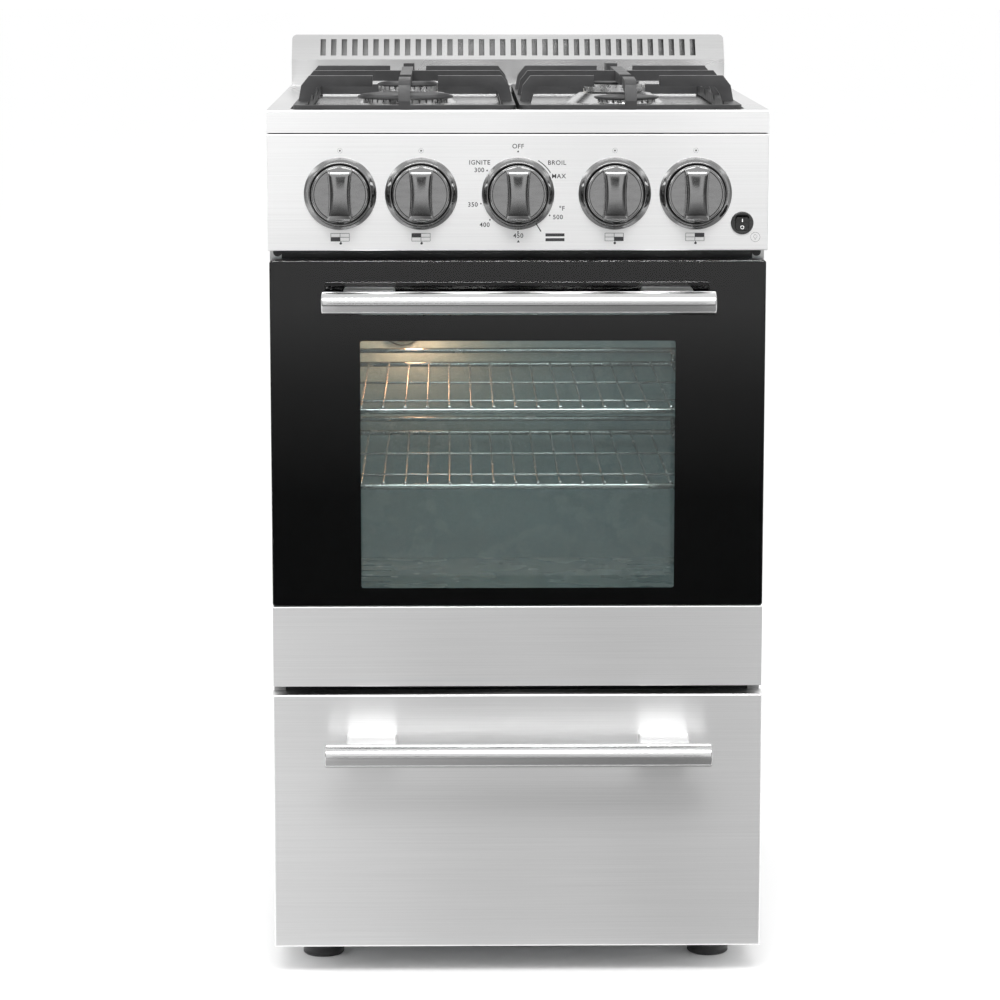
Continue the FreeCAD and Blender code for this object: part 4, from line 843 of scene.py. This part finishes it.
class RANGE_OT_oven_door(bpy.types.Operator):
    """Dark door glass with a clear window, the steel strip and the door's inner parts"""

    bl_idname = "gas_range.oven_door"
    bl_label = "Oven door"

    def execute(self, context):
        steel = context.scene.range_steel
        iron = context.scene.range_iron
        self.outer_glass(steel)
        paint("door_trim", brushed("steel_strip", steel.front, ALONG_X, steel.roughness))
        paint("door_frame", enamel("door_case_enamel", (0.02, 0.02, 0.021), 1.5, 0.35))
        paint("door_inner_panel", enamel("door_inner_enamel", iron.oven, 2.2, 0.2))
        paint("door_glass_inner", clear_glass("inner_pane", (0.93, 0.95, 0.94)))
        paint("door_gasket", woven("gasket_braid", (0.05, 0.05, 0.05)))
        return {"FINISHED"}

    def outer_glass(self, sizes):
        """One pane: black on its back except behind the window."""
        low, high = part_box("door_glass_outer")
        half_w, half_h = (high.x - low.x) / 2, (high.z - low.z) / 2
        centre = Vector(((low.x + high.x) / 2, low.y, (low.z + high.z) / 2))
        win_w = sizes.window_half
        win_top = sizes.window_high - centre.z
        win_low = sizes.window_low - centre.z
        depth = high.y - low.y - PANE_GAP
        outer = rounded_outline(half_w, half_h, 0.003, 6)
        inner = [(x, z + (win_top + win_low) / 2)
                 for x, z in rounded_outline(win_w, (win_top - win_low) / 2, 0.0025, 6)]
        ease = 0.0009
        bm = bmesh.new()
        loops = []
        for shrink, y in ((ease, 0.0), (0.0003, 0.0003), (0.0, ease), (0.0, depth - ease),
                          (ease, depth)):
            k_w, k_h = (half_w - shrink) / half_w, (half_h - shrink) / half_h
            loops.append([bm.verts.new(centre + Vector((x * k_w, y, z * k_h))) for x, z in outer])
        window = [bm.verts.new(centre + Vector((x, depth, z))) for x, z in inner]
        count = len(outer)
        for first, second in zip(loops, loops[1:]):
            for a in range(count):
                b = (a + 1) % count
                bm.faces.new((first[a], second[a], second[b], first[b]))
        bm.faces.new(loops[0])
        clear = bm.faces.new(window)
        border = []
        for a in range(count):
            b = (a + 1) % count
            border.append(bm.faces.new((loops[-1][a], window[a], window[b], loops[-1][b])))
        for face in border:
            face.material_index = 1
        clear.material_index = 0
        mesh = mesh_from(bm, "door_pane")
        mesh.materials.append(clear_glass("smoked_glass", (0.62, 0.66, 0.65)))
        mesh.materials.append(self.black_print())
        new_piece("door_pane", mesh, None, "oven_door", "door_glass_outer", 25)

    def black_print(self):
        """The baked black ink on the back of the glass."""
        ink = Finish("glass_back_print", (0.003, 0.003, 0.003), 0.0, 0.8)
        ink.set("Specular IOR Level", 0.0)
        ink.tint(ink.noise(400), (0.002, 0.002, 0.002), (0.004, 0.004, 0.0045))
        return ink.material


class RANGE_OT_handles(bpy.types.Operator):
    """Round handle bars and their broad posts"""

    bl_idname = "gas_range.handles"
    bl_label = "Handles"

    def execute(self, context):
        # The bar and the posts are one steel in two brightnesses: the posts' lighter copy is painted
        # light, the bar's darker copy painted shade.
        bar_steel = brushed("steel_handle", (0.60, 0.60, 0.60), ALONG_X, 0.16)
        post_steel = brushed("steel_post", (0.80, 0.80, 0.80), ALONG_X, 0.5)
        for name, body in (("door", "oven_door"), ("drawer", "drawer")):
            self.bar(name, body, bar_steel)
            node = name + "_handle_posts"
            new_piece("polished_" + node, soft_copy(node, "polished_" + node, 0.0006, 2),
                      post_steel, body, node, 35)
        return {"FINISHED"}

    def bar(self, name, body, steel):
        """A turned bar with softly rounded ends."""
        node = name + "_handle_bar"
        low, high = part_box(node)
        radius = (high.z - low.z) / 2
        length = high.x - low.x
        ease = 0.0016
        profile = [(0, 0), (radius - ease, 0)]
        profile += arc((radius - ease, ease), ease, -90, 0, 4)[1:]
        rows = 24
        profile += [(radius, ease + (length - 2 * ease) * n / rows) for n in range(1, rows)]
        profile += arc((radius - ease, length - ease), ease, 0, 90, 4)
        profile += [(0, length)]
        middle = Vector((low.x, (low.y + high.y) / 2, (low.z + high.z) / 2))
        bm = place(lathed(profile, 96), middle, (1, 0, 0))
        new_piece("turned_" + node, mesh_from(bm, "turned_" + node), steel, body,
                  node, 35)


class RANGE_OT_oven_inside(bpy.types.Operator):
    """Enamel, racks, guides and lamp inside the oven"""

    bl_idname = "gas_range.oven_inside"
    bl_label = "Oven inside"

    def execute(self, context):
        iron = context.scene.range_iron
        walls = enamel("oven_enamel", iron.oven, 2.4, 0.22)
        for node in ("oven_liner", "oven_floor"):
            paint(node, walls)
        # The rods and the guides get a dim copy of the rack wire: painted shade.
        wire = polished_chrome("rack_wire", (0.32, 0.34, 0.34), 0.2)
        paint("rack_guides", wire)
        # The front rim and the weld beads get a bright white, non-metal copy of the same wire: painted
        # highlight.
        rim = plastic("rack_rim_painted_highlight", (0.80, 0.83, 0.83), 0.25)
        for node in ("rack_upper", "rack_lower"):
            self.rack(node, wire, rim)
        paint("oven_insulation", woven("glass_wool", (0.62, 0.55, 0.30), 240))
        paint("oven_burner", dull_metal("burner_tube_metal", (0.45, 0.45, 0.46)))
        paint("oven_lamp_cover", clear_glass("lamp_glass", (1.0, 0.95, 0.85), 0.05))
        paint("oven_lamp_bulb", self.bulb())
        return {"FINISHED"}

    def rack(self, node, wire, rim):
        """Rim, back stop, thin rods and stiffeners, with a weld bead on each rod's front end."""
        low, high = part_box(node)
        side, front, back = high.x - RIM_WIRE, low.y + RIM_WIRE, high.y - RIM_WIRE
        stop = high.z - RIM_WIRE
        level = stop - STOP_RISE
        bm = bmesh.new()
        corners = [(-side, back, level), (-side, back, stop), (side, back, stop), (side, back, level)]
        for start, end in zip(corners, corners[1:]):
            self.wire(bm, start, end, RIM_WIRE)
        for x in (-side, side):
            self.wire(bm, (x, front, level), (x, back, level), RIM_WIRE)
        self.wire(bm, (-side, back, level), (side, back, level), RIM_WIRE)
        for behind in STIFFENERS:
            y, z = front + behind, level - 0.002
            self.wire(bm, (-side, y, z), (side, y, z), STIFF_WIRE)
        count = int((side - 0.006) / ROD_PITCH)
        places = [n * ROD_PITCH for n in range(-count, count + 1)]
        for x in places:
            self.wire(bm, (x, front, level + ROD_WIRE), (x, back, level + ROD_WIRE), ROD_WIRE)
        plain = len(bm.faces)
        self.wire(bm, (-side, front, level), (side, front, level), RIM_WIRE)
        for x in places:
            y, z = front - 0.0002, level + 0.0036
            self.wire(bm, (x - 0.0001, y, z), (x + 0.0001, y, z), BEAD)
        # The front rim and the beads take the bright copy: painted highlight.
        for face in list(bm.faces)[plain:]:
            face.material_index = 1
        mesh = mesh_from(bm, "wired_" + node)
        new_piece("wired_" + node, mesh, wire, node, node, 60)
        mesh.materials.append(rim)

    def wire(self, target, start, end, radius):
        """A round wire with domed ends."""
        start, end = Vector(start), Vector(end)
        length = (end - start).length
        profile = [(0, -radius)] + arc((0, 0), radius, -75, 0, 5)
        profile += arc((0, length), radius, 0, 75, 5) + [(0, length + radius)]
        move_into(target, place(lathed(profile, 16), start, end - start))

    def bulb(self):
        """A warm glowing bulb."""
        glow = Finish("lamp_bulb", (1.0, 0.85, 0.6), 0.0, 0.3)
        glow.set("Emission Color", (1.0, 0.50, 0.28, 1.0)).set("Emission Strength", 0.9)
        glow.vary("Roughness", glow.noise(80), 0.2, 0.4)
        return glow.material


class RANGE_OT_drawer(bpy.types.Operator):
    """Drawer front, box and broiler pan"""

    bl_idname = "gas_range.drawer"
    bl_label = "Drawer"

    def execute(self, context):
        steel = context.scene.range_steel
        paint("drawer_front", brushed("steel_drawer", steel.front, ALONG_X, steel.roughness))
        paint("drawer_box", dull_metal("drawer_zinc", (0.58, 0.59, 0.60)))
        pan = enamel("broiler_enamel", (0.03, 0.031, 0.034), 3.5)
        for node in ("broiler_pan", "broiler_grid"):
            paint(node, pan)
        return {"FINISHED"}


class RANGE_OT_gas_parts(bpy.types.Operator):
    """Gas taps and pipes"""

    bl_idname = "gas_range.gas_parts"
    bl_label = "Gas parts"

    def execute(self, context):
        paint("gas_valves", cast_aluminium("tap_brass", (0.72, 0.55, 0.26), 0.35))
        paint("gas_pipework", cast_aluminium("gas_pipe_metal", (0.66, 0.66, 0.67), 0.38))
        return {"FINISHED"}


class RANGE_OT_legs(bpy.types.Operator):
    """Levelling legs"""

    bl_idname = "gas_range.legs"
    bl_label = "Legs"

    def execute(self, context):
        black = plastic("leg_plastic", (0.016, 0.016, 0.017), 0.4)
        for row in ("front", "rear"):
            for side in ("left", "right"):
                paint("leg_%s_%s" % (row, side), black)
        return {"FINISHED"}


class RANGE_OT_fasteners(bpy.types.Operator):
    """Pan-head screws on the back sheet and the backguard"""

    bl_idname = "gas_range.fasteners"
    bl_label = "Fasteners"

    def execute(self, context):
        zinc = polished_chrome("screw_zinc", (0.62, 0.62, 0.60), 0.3)
        low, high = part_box("rear_panel")
        sheet = low.y + 0.0012
        bm = bmesh.new()
        for x in (low.x + 0.012, high.x - 0.012):
            for n in range(6):
                z = low.z + 0.03 + n * (high.z - low.z - 0.06) / 5
                self.screw(bm, Vector((x, sheet, z)), (0, 1, 0), n)
        for n in range(5):
            x = low.x + 0.07 + n * (high.x - low.x - 0.14) / 4
            self.screw(bm, Vector((x, sheet, high.z - 0.012)), (0, 1, 0), n + 2)
        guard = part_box("backguard")
        for n in range(4):
            x = guard[0].x + 0.04 + n * (guard[1].x - guard[0].x - 0.08) / 3
            self.screw(bm, Vector((x, guard[1].y, guard[0].z + 0.012)), (0, 1, 0), n)
        new_piece("back_screws", mesh_from(bm, "back_screws"), zinc, "cabinet",
                  sharp=35)
        return {"FINISHED"}

    def screw(self, target, at, axis, turn):
        """A pan head with a cross recess."""
        radius, height = 0.0036, 0.0019
        head = lathed([(0, 0), (radius, 0), (radius, 0.0004)]
                      + arc((radius - 0.0011, 0.0007), 0.0011, 10, 80, 3)
                      + [(radius * 0.45, height), (0, height)], 24)
        for face in list(head.faces):
            middle = face.calc_center_median()
            if middle.z > height - 0.0001 and math.hypot(middle.x, middle.y) < radius * 0.4:
                sector = (math.degrees(math.atan2(middle.y, middle.x)) + 360 + turn * 15) % 90
                if sector < 30:
                    for vertex in face.verts:
                        vertex.co.z -= 0.0009
        move_into(target, place(head, at, axis))


class RANGE_OT_stage(bpy.types.Operator):
    """Pale floor, soft lights and the camera"""

    bl_idname = "gas_range.stage"
    bl_label = "Stage"

    def execute(self, context):
        stage = context.scene.range_stage
        self.floor(stage)
        self.world(stage)
        self.lights()
        self.cards()
        self.camera(context, stage)
        context.scene.view_settings.view_transform = "Standard"
        return {"FINISHED"}

    def floor(self, stage):
        mesh = bpy.data.meshes.new("floor")
        half = 45.0
        mesh.from_pydata([(-half, -half, 0), (half, -half, 0), (half, half, 0), (-half, half, 0)],
                         [], [(0, 1, 2, 3)])
        floor = add_object("floor", mesh)
        finish = Finish("floor_paint", stage.floor, 0.0, 0.8)
        finish.vary("Roughness", finish.noise(3), 0.75, 0.85)
        mesh.materials.append(finish.material)
        floor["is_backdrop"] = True

    def world(self, stage):
        world = bpy.context.scene.world or bpy.data.worlds.new("studio")
        bpy.context.scene.world = world
        world.use_nodes = True
        background = world.node_tree.nodes["Background"]
        background.inputs["Color"].default_value = (1.0, 1.0, 1.0, 1.0)
        background.inputs["Strength"].default_value = stage.world

    def lights(self):
        """Soft boxes above and beside the range, and the lamp in its oven."""
        self.area("light_high", (0.0, -2.6, 3.0), (0, 0, 0.7), 3.0, 0.9, 80)
        self.area("light_left", (-2.6, -1.6, 1.6), (0, 0, 0.5), 0.8, 2.0, 30)
        self.area("light_right", (2.8, -1.4, 1.5), (0, 0, 0.5), 0.8, 2.0, 18)
        fill = self.area("oven_fill", (0.0, -0.02, 0.70), (0, 0.0, 0.4), 0.3, 0.3, 0.35)
        fill.color = (0.86, 1.0, 0.98)
        self.area("rim_light", (0.0, -0.232, 0.70), (0, -0.19, 0.50), 0.34, 0.02, 0.9)
        lamp = bpy.data.lights.new("oven_lamp", "POINT")
        lamp.energy, lamp.shadow_soft_size = 0.9, 0.012
        lamp.color = (1.0, 0.48, 0.27)
        low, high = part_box("oven_lamp_bulb")
        light = add_object("oven_lamp", lamp)
        light.location = ((low.x + high.x) / 2 + 0.012, low.y - 0.03, (low.z + high.z) / 2 - 0.01)
        light.visible_camera = light.visible_transmission = False

    def card(self, name, corners, ramp, axis, low, high):
        """A toned studio card that only reflections see; ramp is (place, tone) along an axis."""
        mesh = bpy.data.meshes.new(name)
        mesh.from_pydata(corners, [], [(0, 1, 2, 3)])
        card = add_object(name, mesh)
        finish = Finish(name, (0, 0, 0), 0.0, 1.0)
        split = finish.nodes.new("ShaderNodeSeparateXYZ")
        finish.links.new(finish.place, split.inputs["Vector"])
        along = finish.ranged(split.outputs[axis], 0.0, 1.0, low, high)
        tones = finish.nodes.new("ShaderNodeValToRGB")
        while len(tones.color_ramp.elements) < len(ramp):
            tones.color_ramp.elements.new(0.5)
        for element, (position, tone) in zip(tones.color_ramp.elements, ramp):
            element.position = position
            element.color = (tone, tone, tone, 1.0)
        finish.links.new(along, tones.inputs["Fac"])
        finish.links.new(tones.outputs["Color"], finish.shader.inputs["Emission Color"])
        finish.set("Emission Strength", 1.0).set("Specular IOR Level", 0.0)
        mesh.materials.append(finish.material)
        card.visible_camera = card.visible_diffuse = card.visible_shadow = False
        card.visible_transmission = False
        card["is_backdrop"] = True

    def cards(self):
        """Cards before and beside the range, which give steel, glass and chrome their tones."""
        near, middle, far = -0.32, -2.18, -8.5
        wide = 1.3
        self.card("card_near", [(-wide, middle, 0.004), (wide, middle, 0.004),
                                (wide, near, 0.004), (-wide, near, 0.004)],
                  [(0.0, 1.0), (0.25, 1.0), (0.50, 0.40), (0.56, 0.30), (0.66, 0.42), (1.0, 0.52)],
                  "X", -wide, wide)
        wide = 2.6
        self.card("card_far", [(-wide, far, 0.003), (wide, far, 0.003),
                               (wide, middle, 0.003), (-wide, middle, 0.003)],
                  [(0.0, 1.0), (0.25, 0.95), (0.55, 0.4), (0.8, 0.10), (1.0, 0.07)],
                  "Y", far, middle)
        self.card("card_back", [(-1.6, -8.6, 0.8), (1.6, -8.6, 0.8), (1.6, -8.6, 1.9),
                                (-1.6, -8.6, 1.9)],
                  [(0.0, 1.0), (0.12, 0.25), (0.3, 0.1), (0.7, 0.14), (1.0, 1.0)], "Z", 0.8, 1.9)

        for name, x in (("card_left", -1.4), ("card_right", 1.4)):
            self.card(name, [(x, -3.4, 0.3), (x, -0.6, 0.3), (x, -0.6, 1.5), (x, -3.4, 1.5)],
                      [(0.0, 0.45), (0.3, 0.12), (0.7, 0.12), (0.85, 0.7), (1.0, 0.9)], "Z", 0.3, 1.5)

    def area(self, name, at, towards, width, height, power):
        """A soft box, aimed at a point."""
        data = bpy.data.lights.new(name, "AREA")
        data.shape = "RECTANGLE"
        data.size, data.size_y = width, height
        data.energy = power
        light = add_object(name, data)
        light.location = at
        aim = Vector(towards) - Vector(at)
        light.rotation_euler = aim.to_track_quat("-Z", "Y").to_euler()
        return data

    def camera(self, context, stage):
        data = bpy.data.cameras.new("camera")
        data.sensor_width = 36.0
        data.lens = stage.lens
        data.clip_end = 200.0
        camera = add_object("camera", data)
        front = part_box("door_trim")[0].y
        camera.location = (stage.camera_side, front - stage.camera_ahead, stage.camera_height)
        camera.rotation_euler = (math.pi / 2 - stage.tilt, 0.0, -stage.turn)
        context.scene.camera = camera


OPERATORS = (RANGE_OT_sheet_metal, RANGE_OT_grates, RANGE_OT_burners, RANGE_OT_knobs,
             RANGE_OT_panel_marks, RANGE_OT_light_switch, RANGE_OT_oven_door, RANGE_OT_handles,
             RANGE_OT_oven_inside, RANGE_OT_drawer, RANGE_OT_gas_parts, RANGE_OT_legs,
             RANGE_OT_fasteners, RANGE_OT_stage)
SETTINGS = (("range_steel", RangeSteelSettings), ("range_iron", RangeIronSettings),
            ("range_knobs", RangeKnobSettings), ("range_stage", RangeStageSettings))


class RANGE_PT_panel(bpy.types.Panel):
    """Lists the range's settings and operators"""

    bl_idname = "RANGE_PT_panel"
    bl_label = "Gas range"
    bl_space_type = "VIEW_3D"
    bl_region_type = "UI"
    bl_category = "Gas range"

    def draw(self, context):
        for name, group in SETTINGS:
            box = self.layout.box()
            for field in group.__annotations__:
                box.prop(getattr(context.scene, name), field)
        for operator in OPERATORS:
            self.layout.operator(operator.bl_idname)


def register():
    for name, group in SETTINGS:
        bpy.utils.register_class(group)
        setattr(bpy.types.Scene, name, bpy.props.PointerProperty(type=group))
    for cls in (*OPERATORS, RANGE_PT_panel):
        bpy.utils.register_class(cls)


def unregister():
    for cls in (RANGE_PT_panel, *reversed(OPERATORS)):
        bpy.utils.unregister_class(cls)
    for name, group in reversed(SETTINGS):
        delattr(bpy.types.Scene, name)
        bpy.utils.unregister_class(group)


def main():
    register()
    for operator in OPERATORS:
        group, name = operator.bl_idname.split(".")
        getattr(getattr(bpy.ops, group), name)()


if __name__ == "__main__":
    main()
